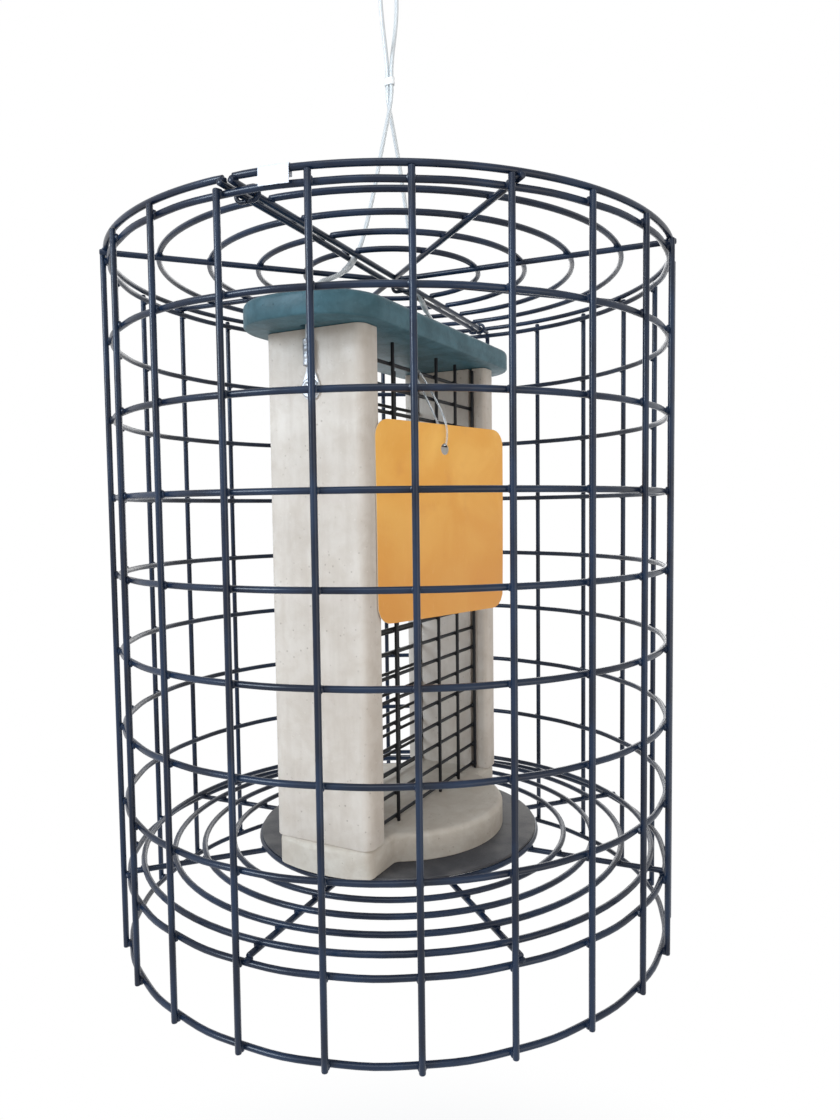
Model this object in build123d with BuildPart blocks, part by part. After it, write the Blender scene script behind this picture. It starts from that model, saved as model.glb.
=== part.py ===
from build123d import *
import os
from math import atan, cos, degrees, radians, sin, tan

# A double suet feeder of recycled-plastic boards, hanging on a cable inside a round wire cage.
# The origin is the inside top of the cable's loop, +Z is up. The feeder's long side runs along Y,
# the lid's door half and the hanging card are on the +X side. All sizes are in millimetres.

os.makedirs("parts", exist_ok=True)

# ---------------------------------------------------------------- driving dimensions

# Cage
cage_radius = 152.8  # a 12 inch cage, measured where hoops and uprights touch
upright_count = 24
hoop_pitch = 40.0
skirt_pitch = 37.5  # from the floor's hoop down to the lowest one
floor_hoop = 8  # counted from 0 at the top; the hoop that carries the floor
wire = 3.0  # coated wire of the cage, lid and floor
wire_sides = 6  # repeated wires are drawn with six flats
small_ring = 150.0  # rings below this radius are drawn with fewer straight runs
small_ring_runs = 16
weld_gap = 0.05  # welded wires lie this far apart
cage_turn = 2.44  # turn of the uprights about Z, degrees
top_hoop_drop = 185.0  # from the loop's inside top down to the top hoop
upright_tip = 4.0  # how far uprights stand above the middle of the top hoop
skirt_tail = 2.0  # how far they reach below the middle of the lowest hoop

# Lid
lid_turn = 4.0  # turn of the double bar about Z, degrees from the Y axis
lid_gap = 0.3  # the lid lies this far above the top hoop
bar_offset = 3.5  # from the lid's middle line to each bar
bar_overhang = 2.7  # the bars end this far outside the cage radius
spoke_angle = 45.0
lid_spoke_overhang = 3.2
inner_lid_ring_radii = [127.0, 101.0, 75.0, 49.0]  # the outer lid ring lies on the top hoop
ring_end_inset = 0.5  # half rings stop this far short of the bar's middle
clip_wire = 2.0
clip_clearance = 0.35
clip_inset = 15.5  # from the bars' ends to the outer clips
clip_middle = 14.0  # from the lid's middle to the middle clip

# Floor
floor_ring_inner = 32.0  # the smallest ring; the others follow outwards as far as there is room
floor_ring_pitch = 16.0
floor_ring_margin = 8.0  # at least this much is left between the last ring and the cage radius
floor_spoke_inner = 30.0
floor_spoke_inset = 1.3
plate_radius = 80.0
plate_thickness = 1.5

# Feeder
base_thickness = 15.0
base_step_radius = 61.0
base_step_round = 4.0  # where the step meets the base's long sides
base_inset = 1.0  # the base is this much narrower on each side than the boards
base_end_reach = 3.0  # its rounded ends stand this far outside the boards
base_corner = 6.0
base_edge = 2.0
inside_length = 130.0  # between the end boards
board_thickness = 16.0
board_width = 58.0
board_height = 256.9
board_outer_round = 5.5
board_inner_round = 3.0
roof_seat = 0.2  # the roof lies this far above the boards
roof_length = 211.0
roof_width = 76.0
roof_thickness = 12.0
roof_corner = 31.0
roof_edge = 2.0
roof_under_chamfer = 1.0
cable_hole = 6.0

# Mesh panels
mesh_wire = 2.0
mesh_sides = 6
mesh_plane = 20.0  # from the feeder's middle to where uprights and level wires touch
mesh_column_pitch = 25.4
mesh_columns = 6
mesh_row_pitch = 12.7
mesh_rows = 20
mesh_first_row = 3.0  # above the base
mesh_upright_height = 255.0
mesh_foot_gap = 0.3
groove_depth = 5.5
groove_clearance = 0.4
row_end_gap = 1.0

# Cable, its sleeves, lugs and band
cable = 2.4
cable_sides = 6
cable_stand_off = 3.0  # from the end board's face to the cable's middle
strand_offset = 1.25  # the two strands lie this far each side of the middle where they cross
hook_radius = 9.0  # bend of the loop over the hook that carries it
sleeve = 3.4
sleeve_clearance = 0.05
near_sleeve_height = 10.5  # from its lower to its upper end
near_sleeve_rise = 0.7  # its upper end stands this far above the middle of the bars
far_sleeve_height = 5.6
band_height = 4.0
band_wall = 0.6
band_rise = 113.0  # from the top hoop up to the band
ferrule = 5.0
ferrule_length = 13.0
ferrule_chamfer = 0.5
roof_bend_rise = 7.8  # the cable's bend point above the roof
roof_bend_radius = 10.0
lug_thickness = 1.5
lug_eye_radius = 5.5
lug_neck = 4.5
lug_drop = 29.5  # the lug's screw, below the roof's underside
ferrule_drop = 6.0  # the ferrule's top, below the roof's underside
lug_washer_radius = 5.0
lug_washer_thickness = 1.0

# Screws
screw = 4.0
screw_fit = 0.05  # radial gap round a screw
screw_sides = 8  # small screws, washers and their holes are drawn with flats
head_sides = 12
washer_sides = 18
screw_head = 8.0
screw_head_height = 3.0
screw_head_slope = 25.0
screw_end_gap = 1.0  # its hole is this much deeper than a screw
lug_screw_length = 12.0
lug_screw_head = 6.0
lug_screw_head_height = 2.2
board_screw_length = 35.0
board_screw_spread = 32.0  # between the two screws of one end board
floor_screw_circle = 40.0  # radius
floor_screw_count = 4
floor_screw_bite = 11.0  # into the base
fender_washer_radius = 11.0
fender_washer_thickness = 1.4

# Card, its loop and the paper label
card_size = 101.6
card_thickness = 0.8
card_corner = 9.0
card_hole = 6.0
card_hole_drop = 13.0
card_angle = 15.0  # the card stands off the mesh by this angle
card_near_edge_y = -71.0
card_rest_gap = 0.4  # from the card's near edge to the board it leans on
card_top_drop = 83.0  # below the top hoop
card_loop_wire = 1.1
card_loop_bend = 2.5  # half the gap between its strands' middles at the card
card_loop_y = -8.0  # where the loop holds the mesh wire
card_loop_slack = 0.3
label_thickness = 0.3
label_length = 13.0
label_drop = 10.5  # below the middle of the outer half ring
label_inner_drop = 3.0
label_gap = 0.1

# ---------------------------------------------------------------- levels and places

ring_step = 360 / upright_count
hoop_radius = cage_radius - wire / 2
bar_reach = cage_radius + bar_overhang
lid_spoke_reach = cage_radius + lid_spoke_overhang
floor_spoke_reach = cage_radius - floor_spoke_inset
lid_ring_radii = [cage_radius] + inner_lid_ring_radii
clip_places = [clip_inset - bar_reach, clip_middle, bar_reach - clip_inset]
upright_radius = cage_radius + wire / 2 + weld_gap
top_hoop_z = -top_hoop_drop
floor_hoop_z = top_hoop_z - floor_hoop * hoop_pitch
skirt_z = floor_hoop_z - skirt_pitch
hoop_levels = [top_hoop_z - k * hoop_pitch for k in range(floor_hoop + 1)] + [skirt_z]

bar_z = top_hoop_z + wire + lid_gap
lid_ring_z = bar_z + wire + weld_gap

floor_spoke_z = floor_hoop_z + wire + weld_gap
floor_ring_z = floor_spoke_z + wire + weld_gap
floor_ring_room = cage_radius - floor_ring_margin - floor_ring_inner
floor_ring_count = int(floor_ring_room // floor_ring_pitch) + 1
floor_ring_radii = [floor_ring_inner + k * floor_ring_pitch for k in range(floor_ring_count)]
plate_z = floor_ring_z + wire / 2 + weld_gap
base_z = plate_z + plate_thickness
base_top = base_z + base_thickness
board_top = base_top + board_height
roof_z = board_top + roof_seat
roof_top = roof_z + roof_thickness

board_inner_y = inside_length / 2
board_middle_y = board_inner_y + board_thickness / 2
board_outer_y = board_inner_y + board_thickness
board_face_x = board_width / 2
row_x = mesh_plane - mesh_wire / 2
column_x = mesh_plane + mesh_wire / 2 + weld_gap
row_z = [base_top + mesh_first_row + k * mesh_row_pitch for k in range(mesh_rows)]
cable_y = board_outer_y + cable_stand_off
lug_z = roof_z - lug_drop
ferrule_top = roof_z - ferrule_drop
ferrule_foot = ferrule_top - ferrule_length


def bearing(azimuth):
    """The level unit vector at this azimuth, counted from -Y towards +X."""
    return Vector(sin(radians(azimuth)), -cos(radians(azimuth)), 0)


def flats(diameter, sides):
    """The cross section of a coated wire, drawn with flats; used inside a sketch."""
    RegularPolygon(diameter / 2, sides, major_radius=False, rotation=180 / sides)


def hole(radius, sides):
    """A hole drawn with flats, with room for a round shank of this radius; used inside a sketch."""
    RegularPolygon(radius, sides, major_radius=False, mode=Mode.SUBTRACT)


def finish(builder, name):
    """Name a finished piece and write it."""
    builder.part.label = name
    export_step(builder.part, f"parts/{name}.step")


# ---------------------------------------------------------------- wire pieces


def wire_ring(radius, height, turn):
    """A closed ring of cage wire, straight between its welds; its six flats slope from half width."""
    runs = upright_count if radius > small_ring else small_ring_runs
    slope = degrees(atan(1 / 2))
    with BuildPart() as ring:
        with BuildSketch(Plane.XY.offset(height)):
            RegularPolygon(radius + wire / 2, runs, rotation=turn)
            RegularPolygon(radius - wire / 2, runs, rotation=turn, mode=Mode.SUBTRACT)
        extrude(amount=wire / 2, both=True, taper=slope)
    return ring


def radial_wires(azimuths, inner, outer, height):
    """Straight wires that run outwards at one level, one for each azimuth."""
    with BuildPart() as wires:
        for azimuth in azimuths:
            outwards = bearing(azimuth)
            start = outwards * inner + Vector(0, 0, height)
            with BuildSketch(Plane(origin=start, x_dir=(0, 0, 1), z_dir=outwards)):
                flats(wire, wire_sides)
            extrude(amount=outer - inner)
    return wires


lid_bar_direction = bearing(lid_turn)
lid_door_side = bearing(lid_turn + 90)


def half_lid(side, half, prefix):
    """One half of the lid: its bar, three spokes and the half rings; side is +1 for the door."""
    bar_line = lid_door_side * (side * bar_offset)
    bar_start = bar_line - lid_bar_direction * bar_reach + Vector(0, 0, bar_z)
    with BuildPart() as bar:
        with BuildSketch(Plane(origin=bar_start, z_dir=lid_bar_direction)):
            Circle(wire / 2)
        extrude(amount=2 * bar_reach)
    finish(bar, f"{prefix}_bar")

    azimuths = [lid_turn + side * k * spoke_angle for k in (1, 2, 3)]
    bar_side = lid_door_side * (side * (bar_offset + wire / 2))
    with BuildPart() as spokes:
        add(radial_wires(azimuths, 0, lid_spoke_reach, bar_z).part)
        split(bisect_by=Plane(origin=bar_side, z_dir=lid_door_side * side), keep=Keep.TOP)
    finish(spokes, f"{prefix}_spokes")

    ring_end = lid_door_side * (side * (bar_offset - ring_end_inset))
    for number, radius in enumerate(lid_ring_radii, start=1):
        with BuildPart() as ring:
            add(wire_ring(radius, lid_ring_z, lid_turn).part)
            split(bisect_by=Plane(origin=ring_end, z_dir=lid_door_side * side), keep=Keep.TOP)
        finish(ring, f"{half}_ring_{number}")


# Uprights: the two that stand under the ends of the lid's bars are cut level with the top hoop.
upright_foot = skirt_z - skirt_tail
low_tip = top_hoop_z + wire / 2
with BuildPart() as cage_uprights:
    for k in range(upright_count):
        under_bar = k % (upright_count // 2) == 0
        tip = low_tip if under_bar else top_hoop_z + upright_tip
        place = bearing(cage_turn + k * ring_step) * upright_radius
        outwards = bearing(cage_turn + k * ring_step)
        with BuildSketch(Plane(origin=place + Vector(0, 0, upright_foot), x_dir=outwards)):
            flats(wire, wire_sides)
        extrude(amount=tip - upright_foot)
finish(cage_uprights, "cage_uprights")

for number, level in enumerate(hoop_levels, start=1):
    cage_hoop = wire_ring(hoop_radius, level, cage_turn)
    finish(cage_hoop, f"hoop_{number:02d}")

half_lid(1, "door", "door")
half_lid(-1, "lid", "lid")

# Clips: wire links round both bars, in which the door's bar turns.
clip_bend = wire / 2 + clip_clearance + clip_wire / 2
clip_angles = [90, 45, 0, -45, -90]
with BuildPart() as lid_clips:
    for place in clip_places:
        middle = lid_bar_direction * -place + Vector(0, 0, bar_z)
        round_end = [(bar_offset + clip_bend * cos(radians(angle)), clip_bend * sin(radians(angle)))
                     for angle in clip_angles]
        other_end = [(-x, -y) for x, y in round_end]
        with BuildLine(Plane(origin=middle, x_dir=lid_door_side, z_dir=lid_bar_direction)):
            Polyline((0, clip_bend), *round_end, *other_end, (0, clip_bend))
        start = middle + Vector(0, 0, clip_bend)
        with BuildSketch(Plane(origin=start, z_dir=lid_door_side)):
            RegularPolygon(clip_wire / 2, mesh_sides)
        sweep(transition=Transition.RIGHT)
finish(lid_clips, "lid_clips")

# ---------------------------------------------------------------- floor

floor_azimuths = [lid_turn + k * spoke_angle for k in range(8)]
floor_spokes = radial_wires(floor_azimuths, floor_spoke_inner, floor_spoke_reach, floor_spoke_z)
finish(floor_spokes, "floor_spokes")

for number, radius in enumerate(floor_ring_radii, start=1):
    finish(wire_ring(radius, floor_ring_z, lid_turn), f"floor_ring_{number}")

floor_screw_turn = lid_turn + spoke_angle / 2
screw_bore = screw / 2 + screw_fit

with BuildPart() as floor_plate:
    with BuildSketch(Plane.XY.offset(plate_z)):
        Circle(plate_radius)
        with PolarLocations(floor_screw_circle, floor_screw_count, floor_screw_turn):
            hole(screw_bore, screw_sides)
    extrude(amount=plate_thickness)
finish(floor_plate, "floor_plate")

washer_top = floor_ring_z - wire / 2 - weld_gap
washer_foot = washer_top - fender_washer_thickness
with BuildPart() as floor_washers:
    with BuildSketch(Plane.XY.offset(washer_foot)):
        with PolarLocations(floor_screw_circle, floor_screw_count, floor_screw_turn):
            RegularPolygon(fender_washer_radius, washer_sides)
            hole(screw_bore, screw_sides)
    extrude(amount=fender_washer_thickness)
finish(floor_washers, "floor_washers")

floor_screw_tip = base_z + floor_screw_bite
with BuildPart() as floor_screws:
    with BuildSketch(Plane.XY.offset(washer_foot)):
        with PolarLocations(floor_screw_circle, floor_screw_count, floor_screw_turn):
            RegularPolygon(screw / 2, screw_sides)
    extrude(amount=floor_screw_tip - washer_foot)
    with BuildSketch(Plane.XY.offset(washer_foot)):
        with PolarLocations(floor_screw_circle, floor_screw_count, floor_screw_turn):
            RegularPolygon(screw_head / 2, head_sides)
    extrude(amount=-screw_head_height, taper=screw_head_slope)
finish(floor_screws, "floor_screws")

# ---------------------------------------------------------------- feeder body

base_end_radius = board_outer_y + base_end_reach
base_width = board_width - 2 * base_inset
board_screw_places = [(x, y) for x in (-board_screw_spread / 2, board_screw_spread / 2)
                      for y in (-board_middle_y, board_middle_y)]
board_screw_head_z = base_z + screw_head_height
board_screw_tip = base_z + board_screw_length

with BuildPart() as base_board:
    with BuildSketch(Plane.XY.offset(base_z)):
        Circle(base_end_radius)
        Rectangle(base_width, 2 * base_end_radius, mode=Mode.INTERSECT)
        fillet(vertices(), base_corner)
        Circle(base_step_radius)
    extrude(amount=base_thickness)
    step_edges = base_board.edges().filter_by(Axis.Z).filter_by(
        lambda e: abs(e.center().Y) < base_step_radius)
    fillet(step_edges, base_step_round)
    chamfer(base_board.faces().sort_by(Axis.Z)[-1].edges(), base_edge)
    with BuildSketch(Plane.XY.offset(base_z)):
        with PolarLocations(floor_screw_circle, floor_screw_count, floor_screw_turn):
            RegularPolygon(screw_bore, screw_sides, major_radius=False)
    extrude(amount=floor_screw_bite + screw_end_gap, mode=Mode.SUBTRACT)
    with BuildSketch(Plane.XY.offset(base_z)):
        with Locations(*board_screw_places):
            RegularPolygon(screw_bore, screw_sides, major_radius=False)
    extrude(amount=base_thickness, mode=Mode.SUBTRACT)
    with BuildSketch(Plane.XY.offset(base_z)):
        with Locations(*board_screw_places):
            RegularPolygon(screw_head / 2 + screw_fit, head_sides, major_radius=False)
    extrude(amount=screw_head_height + screw_fit, mode=Mode.SUBTRACT)
finish(base_board, "base_board")


def end_board(side, name):
    """An upright board with two mesh grooves in its inner face; side is -1 near, +1 far."""
    groove_width = mesh_wire + groove_clearance
    with BuildPart() as board:
        with BuildSketch(Plane.XY.offset(base_top)):
            with Locations((0, side * board_middle_y)):
                Rectangle(board_width, board_thickness)
            for x in (-row_x, row_x):
                with Locations((x, side * (board_inner_y + groove_depth / 2))):
                    Rectangle(groove_width, groove_depth, mode=Mode.SUBTRACT)
        extrude(amount=board_height)
        uprights = board.edges().filter_by(Axis.Z)
        corners = uprights.filter_by(lambda e: abs(abs(e.center().X) - board_face_x) < 0.01)
        outer = corners.filter_by(lambda e: abs(abs(e.center().Y) - board_outer_y) < 0.01)
        inner = corners.filter_by(lambda e: abs(abs(e.center().Y) - board_inner_y) < 0.01)
        fillet(outer, board_outer_round)
        fillet(inner, board_inner_round)
        with BuildSketch(Plane.XY.offset(base_top)):
            with Locations(*[p for p in board_screw_places if p[1] * side > 0]):
                RegularPolygon(screw_bore, screw_sides, major_radius=False)
        extrude(amount=board_screw_length - base_thickness + screw_end_gap, mode=Mode.SUBTRACT)
        face = Plane(origin=(0, side * board_outer_y, lug_z), z_dir=(0, -side, 0))
        with BuildSketch(face):
            RegularPolygon(screw_bore, screw_sides, major_radius=False)
        extrude(amount=lug_screw_length, mode=Mode.SUBTRACT)
    finish(board, name)


end_board(-1, "near_board")
end_board(1, "far_board")

with BuildPart() as board_screws:
    with BuildSketch(Plane.XY.offset(base_z)):
        with Locations(*board_screw_places):
            RegularPolygon(screw_head / 2, head_sides)
    extrude(amount=screw_head_height)
    with BuildSketch(Plane.XY.offset(board_screw_head_z)):
        with Locations(*board_screw_places):
            RegularPolygon(screw / 2, screw_sides)
    extrude(amount=board_screw_tip - board_screw_head_z)
finish(board_screws, "board_screws")

with BuildPart() as roof_board:
    with BuildSketch(Plane.XY.offset(roof_z)):
        RectangleRounded(roof_width, roof_length, roof_corner)
    extrude(amount=roof_thickness)
    chamfer(roof_board.faces().sort_by(Axis.Z)[-1].edges(), roof_edge)
    chamfer(roof_board.faces().sort_by(Axis.Z)[0].edges(), roof_under_chamfer)
    with BuildSketch(Plane.XY.offset(roof_z)):
        with Locations((0, -cable_y), (0, cable_y)):
            Circle(cable_hole / 2)
    extrude(amount=roof_thickness, mode=Mode.SUBTRACT)
finish(roof_board, "roof_board")


# ---------------------------------------------------------------- mesh panels


def mesh_panel(side, name):
    """Welded wire panel; its level wires end in the boards' grooves, its uprights face outwards."""
    row_half = board_inner_y + groove_depth - row_end_gap
    column_y = [(k - (mesh_columns - 1) / 2) * mesh_column_pitch for k in range(mesh_columns)]
    with BuildPart() as rows:
        for z in row_z:
            with BuildSketch(Plane(origin=(side * row_x, -row_half, z), x_dir=(1, 0, 0), z_dir=(0, 1, 0))):
                flats(mesh_wire, mesh_sides)
            extrude(amount=2 * row_half)
    finish(rows, f"{name}_mesh_rows")
    with BuildPart() as columns:
        with BuildSketch(Plane.XY.offset(base_top + mesh_foot_gap)):
            with Locations(*[(side * column_x, y) for y in column_y]):
                flats(mesh_wire, mesh_sides)
        extrude(amount=mesh_upright_height)
    finish(columns, f"{name}_mesh_columns")


mesh_panel(1, "front")
mesh_panel(-1, "rear")

# ---------------------------------------------------------------- cable


def bend_radii(points, share=0.45):
    """For each inner point, this share of its shorter run over the tangent of half its turn."""
    radii = []
    for before, corner, after in zip(points, points[1:], points[2:]):
        incoming = Vector(*corner) - Vector(*before)
        outgoing = Vector(*after) - Vector(*corner)
        half_turn = radians(incoming.get_angle(outgoing)) / 2
        radii.append(share * min(incoming.length, outgoing.length) / tan(half_turn))
    return radii


def cable_tube(points, radii, outer, inner=0):
    """A round cord, or a sleeve on it, along straight runs joined by tangent arcs."""
    with BuildPart() as tube:
        with BuildLine() as route:
            FilletPolyline(*points, radius=radii)
        with BuildSketch(Plane(origin=route.line @ 0, z_dir=route.line % 0)):
            RegularPolygon(outer / 2, cable_sides)
            if inner:
                RegularPolygon(inner / 2, cable_sides, mode=Mode.SUBTRACT)
        sweep()
    return tube


# The near strand, from its ferrule up through the roof and between the lid's bars to the band.
band_z = top_hoop_z + band_rise
roof_bend_z = roof_top + roof_bend_rise
near_route = [
    (0, -cable_y, ferrule_top),
    (0, -cable_y, roof_bend_z),
    (3.2, -57, -193.5),
    (3.1, -39.5, -176),
    (2.6, -29, -155),
    (2.1, -19, -131),
    (1.5, -9.5, -106),
    (strand_offset, 0, band_z - 10),
    (strand_offset, 0, band_z),
]
# The far strand, down from the band to its ferrule.
far_route = [
    (-strand_offset, 0, band_z),
    (-strand_offset, 0, band_z - 11),
    (-1.4, 11, -107),
    (-1.8, 20.5, -134),
    (-2.2, 29, -160),
    (-2.4, 31.5, -171),
    (-2.8, 38, -182),
    (-2.6, 57, -193.5),
    (0, cable_y, roof_bend_z),
    (0, cable_y, ferrule_top),
]
# The loop above the band, open to the size of the hook that carries it.
loop_top = cable / 2
loop_half = hook_radius + 0.3
loop_route = [
    (strand_offset, 0, band_z),
    (strand_offset, 0, band_z + 10),
    (0.5, 8.5, -34),
    (0, loop_half, -16),
    (0, loop_half, loop_top),
    (0, -loop_half, loop_top),
    (0, -loop_half, -16),
    (-0.5, -8.5, -34),
    (-strand_offset, 0, band_z + 10),
    (-strand_offset, 0, band_z),
]
near_radii = [roof_bend_radius] + bend_radii(near_route)[1:]
far_radii = bend_radii(far_route)[:-1] + [roof_bend_radius]
loop_radii = bend_radii(loop_route)
loop_radii[3] = hook_radius
loop_radii[4] = hook_radius
for name, radii in (("near", near_radii), ("far", far_radii), ("loop", loop_radii)):
    print(f"cable {name} radii:", [round(radius, 1) for radius in radii])

near_cable = cable_tube(near_route, near_radii, cable)
finish(near_cable, "cable_near")
far_cable = cable_tube(far_route, far_radii, cable)
finish(far_cable, "cable_far")
loop_cable = cable_tube(loop_route, loop_radii, cable)
finish(loop_cable, "cable_loop")


def trimmed_sleeve(route, radii, low, high):
    """A sleeve round the cable between two levels."""
    with BuildPart() as trimmed:
        add(cable_tube(route, radii, sleeve, cable + 2 * sleeve_clearance).part)
        split(bisect_by=Plane.XY.offset(low), keep=Keep.TOP)
        split(bisect_by=Plane.XY.offset(high), keep=Keep.BOTTOM)
    return trimmed


near_sleeve_top = bar_z + near_sleeve_rise
far_sleeve_top = bar_z - wire / 2
near_sleeve_foot = near_sleeve_top - near_sleeve_height
far_sleeve_foot = far_sleeve_top - far_sleeve_height
with BuildPart() as cable_sleeves:
    add(trimmed_sleeve(near_route, near_radii, near_sleeve_foot, near_sleeve_top).part)
    add(trimmed_sleeve(far_route, far_radii, far_sleeve_foot, far_sleeve_top).part)
finish(cable_sleeves, "cable_sleeves")

with BuildPart() as cable_band:
    band_inner = cable / 2 + sleeve_clearance
    with BuildSketch(Plane.XY.offset(band_z - band_height / 2)):
        SlotCenterToCenter(2 * strand_offset, 2 * (band_inner + band_wall))
        SlotCenterToCenter(2 * strand_offset, 2 * band_inner, mode=Mode.SUBTRACT)
    extrude(amount=band_height)
finish(cable_band, "cable_band")


# Each end of the cable: a ferrule, and below it an eye lug that a screw holds to the board.
with BuildPart() as cable_lugs:
    for side in (-1, 1):
        face = Plane(origin=(0, side * board_outer_y, lug_z), x_dir=(-side, 0, 0), z_dir=(0, side, 0))
        with BuildSketch(face):
            Circle(lug_eye_radius)
            with Locations((0, (ferrule_foot - lug_z) / 2)):
                Rectangle(lug_neck, ferrule_foot - lug_z)
            hole(screw_bore, screw_sides)
        extrude(amount=lug_thickness)
finish(cable_lugs, "cable_lugs")

with BuildPart() as cable_ferrules:
    with BuildSketch(Plane.XY.offset(ferrule_foot)):
        with Locations((0, -cable_y), (0, cable_y)):
            RegularPolygon(ferrule / 2, head_sides)
    extrude(amount=ferrule_length)
    chamfer(cable_ferrules.faces().filter_by(Axis.Z).edges(), ferrule_chamfer)
finish(cable_ferrules, "cable_ferrules")

lug_screw_seat = lug_thickness + lug_washer_thickness
with BuildPart() as lug_washers:
    for side in (-1, 1):
        with BuildSketch(Plane(origin=(0, side * (board_outer_y + lug_thickness), lug_z), z_dir=(0, side, 0))):
            RegularPolygon(lug_washer_radius, washer_sides)
            hole(screw_bore, screw_sides)
        extrude(amount=lug_washer_thickness)
finish(lug_washers, "lug_washers")

with BuildPart() as lug_screws:
    for side in (-1, 1):
        seat = Plane(origin=(0, side * (board_outer_y + lug_screw_seat), lug_z), z_dir=(0, side, 0))
        with BuildSketch(seat):
            RegularPolygon(lug_screw_head / 2, head_sides)
        extrude(amount=lug_screw_head_height, taper=screw_head_slope)
        with BuildSketch(seat):
            RegularPolygon(screw / 2, screw_sides)
        extrude(amount=-(lug_screw_length + lug_screw_seat - screw_end_gap))
finish(lug_screws, "lug_screws")

# ---------------------------------------------------------------- card and label

card_along = Vector(sin(radians(card_angle)), cos(radians(card_angle)), 0)
card_out = Vector(cos(radians(card_angle)), -sin(radians(card_angle)), 0)
card_near_x = board_face_x + card_rest_gap + card_thickness / 2
card_top = top_hoop_z - card_top_drop
card_middle = Vector(card_near_x, card_near_edge_y, card_top - card_size / 2) + card_along * (card_size / 2)
card_hole_middle = card_middle + Vector(0, 0, card_size / 2 - card_hole_drop)

with BuildPart() as hang_card:
    card_plane = Plane(origin=card_middle - card_out * (card_thickness / 2), x_dir=card_along, z_dir=card_out)
    with BuildSketch(card_plane):
        RectangleRounded(card_size, card_size, card_corner)
        with Locations((0, card_size / 2 - card_hole_drop)):
            Circle(card_hole / 2, mode=Mode.SUBTRACT)
    extrude(amount=card_thickness)
finish(hang_card, "hang_card")

# The loop hangs on the top level wire of the front mesh. Its two strands run down together, then
# one passes behind the card and the other in front, and they meet in the card's hole.
loop_hold = Vector(row_x, card_loop_y, row_z[-1])
loop_reach = Vector(card_hole_middle.X - loop_hold.X, card_hole_middle.Y - loop_hold.Y, 0)
loop_outwards = loop_reach.normalized()
loop_plane = Plane(origin=loop_hold, x_dir=loop_outwards, z_dir=loop_outwards.cross(Vector(0, 0, 1)))
loop_wire_gap = mesh_wire / 2 + card_loop_slack + card_loop_wire / 2
loop_foot = card_hole_middle.Z - loop_hold.Z + card_hole / 2 - card_loop_slack - card_loop_wire / 2
loop_card = loop_reach.length
loop_over_card = card_top - loop_hold.Z + card_loop_bend
loop_corners = [
    (0, loop_wire_gap),
    (loop_wire_gap + card_loop_slack, loop_wire_gap),
    (loop_card + card_loop_bend, loop_over_card),
    (loop_card + card_loop_bend, loop_foot),
    (loop_card - card_loop_bend, loop_foot),
    (loop_card - card_loop_bend, loop_over_card - 2 * card_loop_bend),
    (-loop_wire_gap - card_loop_slack, -card_loop_slack),
    (-loop_wire_gap - card_loop_slack, loop_wire_gap),
]
with BuildPart() as card_loop:
    with BuildLine(loop_plane) as loop_line:
        Polyline(*loop_corners, close=True)
    start = loop_line.line @ 0
    with BuildSketch(Plane(origin=start, z_dir=loop_line.line % 0)):
        RegularPolygon(card_loop_wire / 2, mesh_sides)
    sweep(transition=Transition.RIGHT)
finish(card_loop, "card_loop")

# The label is folded over the outer half ring of the door, halfway between two of its welds.
label_azimuth = lid_turn + ring_step / 2
label_radius = lid_ring_radii[0] * cos(radians(ring_step / 2))
label_out = bearing(label_azimuth)
label_along = bearing(label_azimuth + 90)
label_start = label_out * label_radius + Vector(0, 0, lid_ring_z) - label_along * (label_length / 2)
with BuildPart() as paper_label:
    with BuildSketch(Plane(origin=label_start, x_dir=label_out, z_dir=label_along)):
        inner_half = wire / 2 + label_gap
        outer_half = inner_half + label_thickness
        up = label_along.cross(label_out).Z
        with Locations((0, up * (outer_half - label_inner_drop) / 2)):
            Rectangle(2 * outer_half, outer_half + label_inner_drop)
        with Locations(((inner_half + outer_half) / 2, -up * label_drop / 2)):
            Rectangle(label_thickness, label_drop)
        with Locations((0, up * (inner_half - label_drop) / 2)):
            Rectangle(2 * inner_half, inner_half + label_drop, mode=Mode.SUBTRACT)
    extrude(amount=label_length)
finish(paper_label, "paper_label")
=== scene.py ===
# %% [markdown]
# # A caged suet feeder, dressed for the camera
# The feeder is two boards, a base and a roof of recycled plastic, with wire mesh on both sides for
# two cakes of suet. It hangs on a thin cable inside a round wire cage that keeps big birds out.
# The solid model comes in as a fixed frame; this lesson gives it smooth wires, screws, a cable
# that bends like cable, and finishes that look like the real ones.

# %% Load the frame
import bpy
import numpy as np
from math import cos, pi, radians, sin, sqrt
from mathutils import Matrix, Vector
from mathutils.geometry import tessellate_polygon


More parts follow.
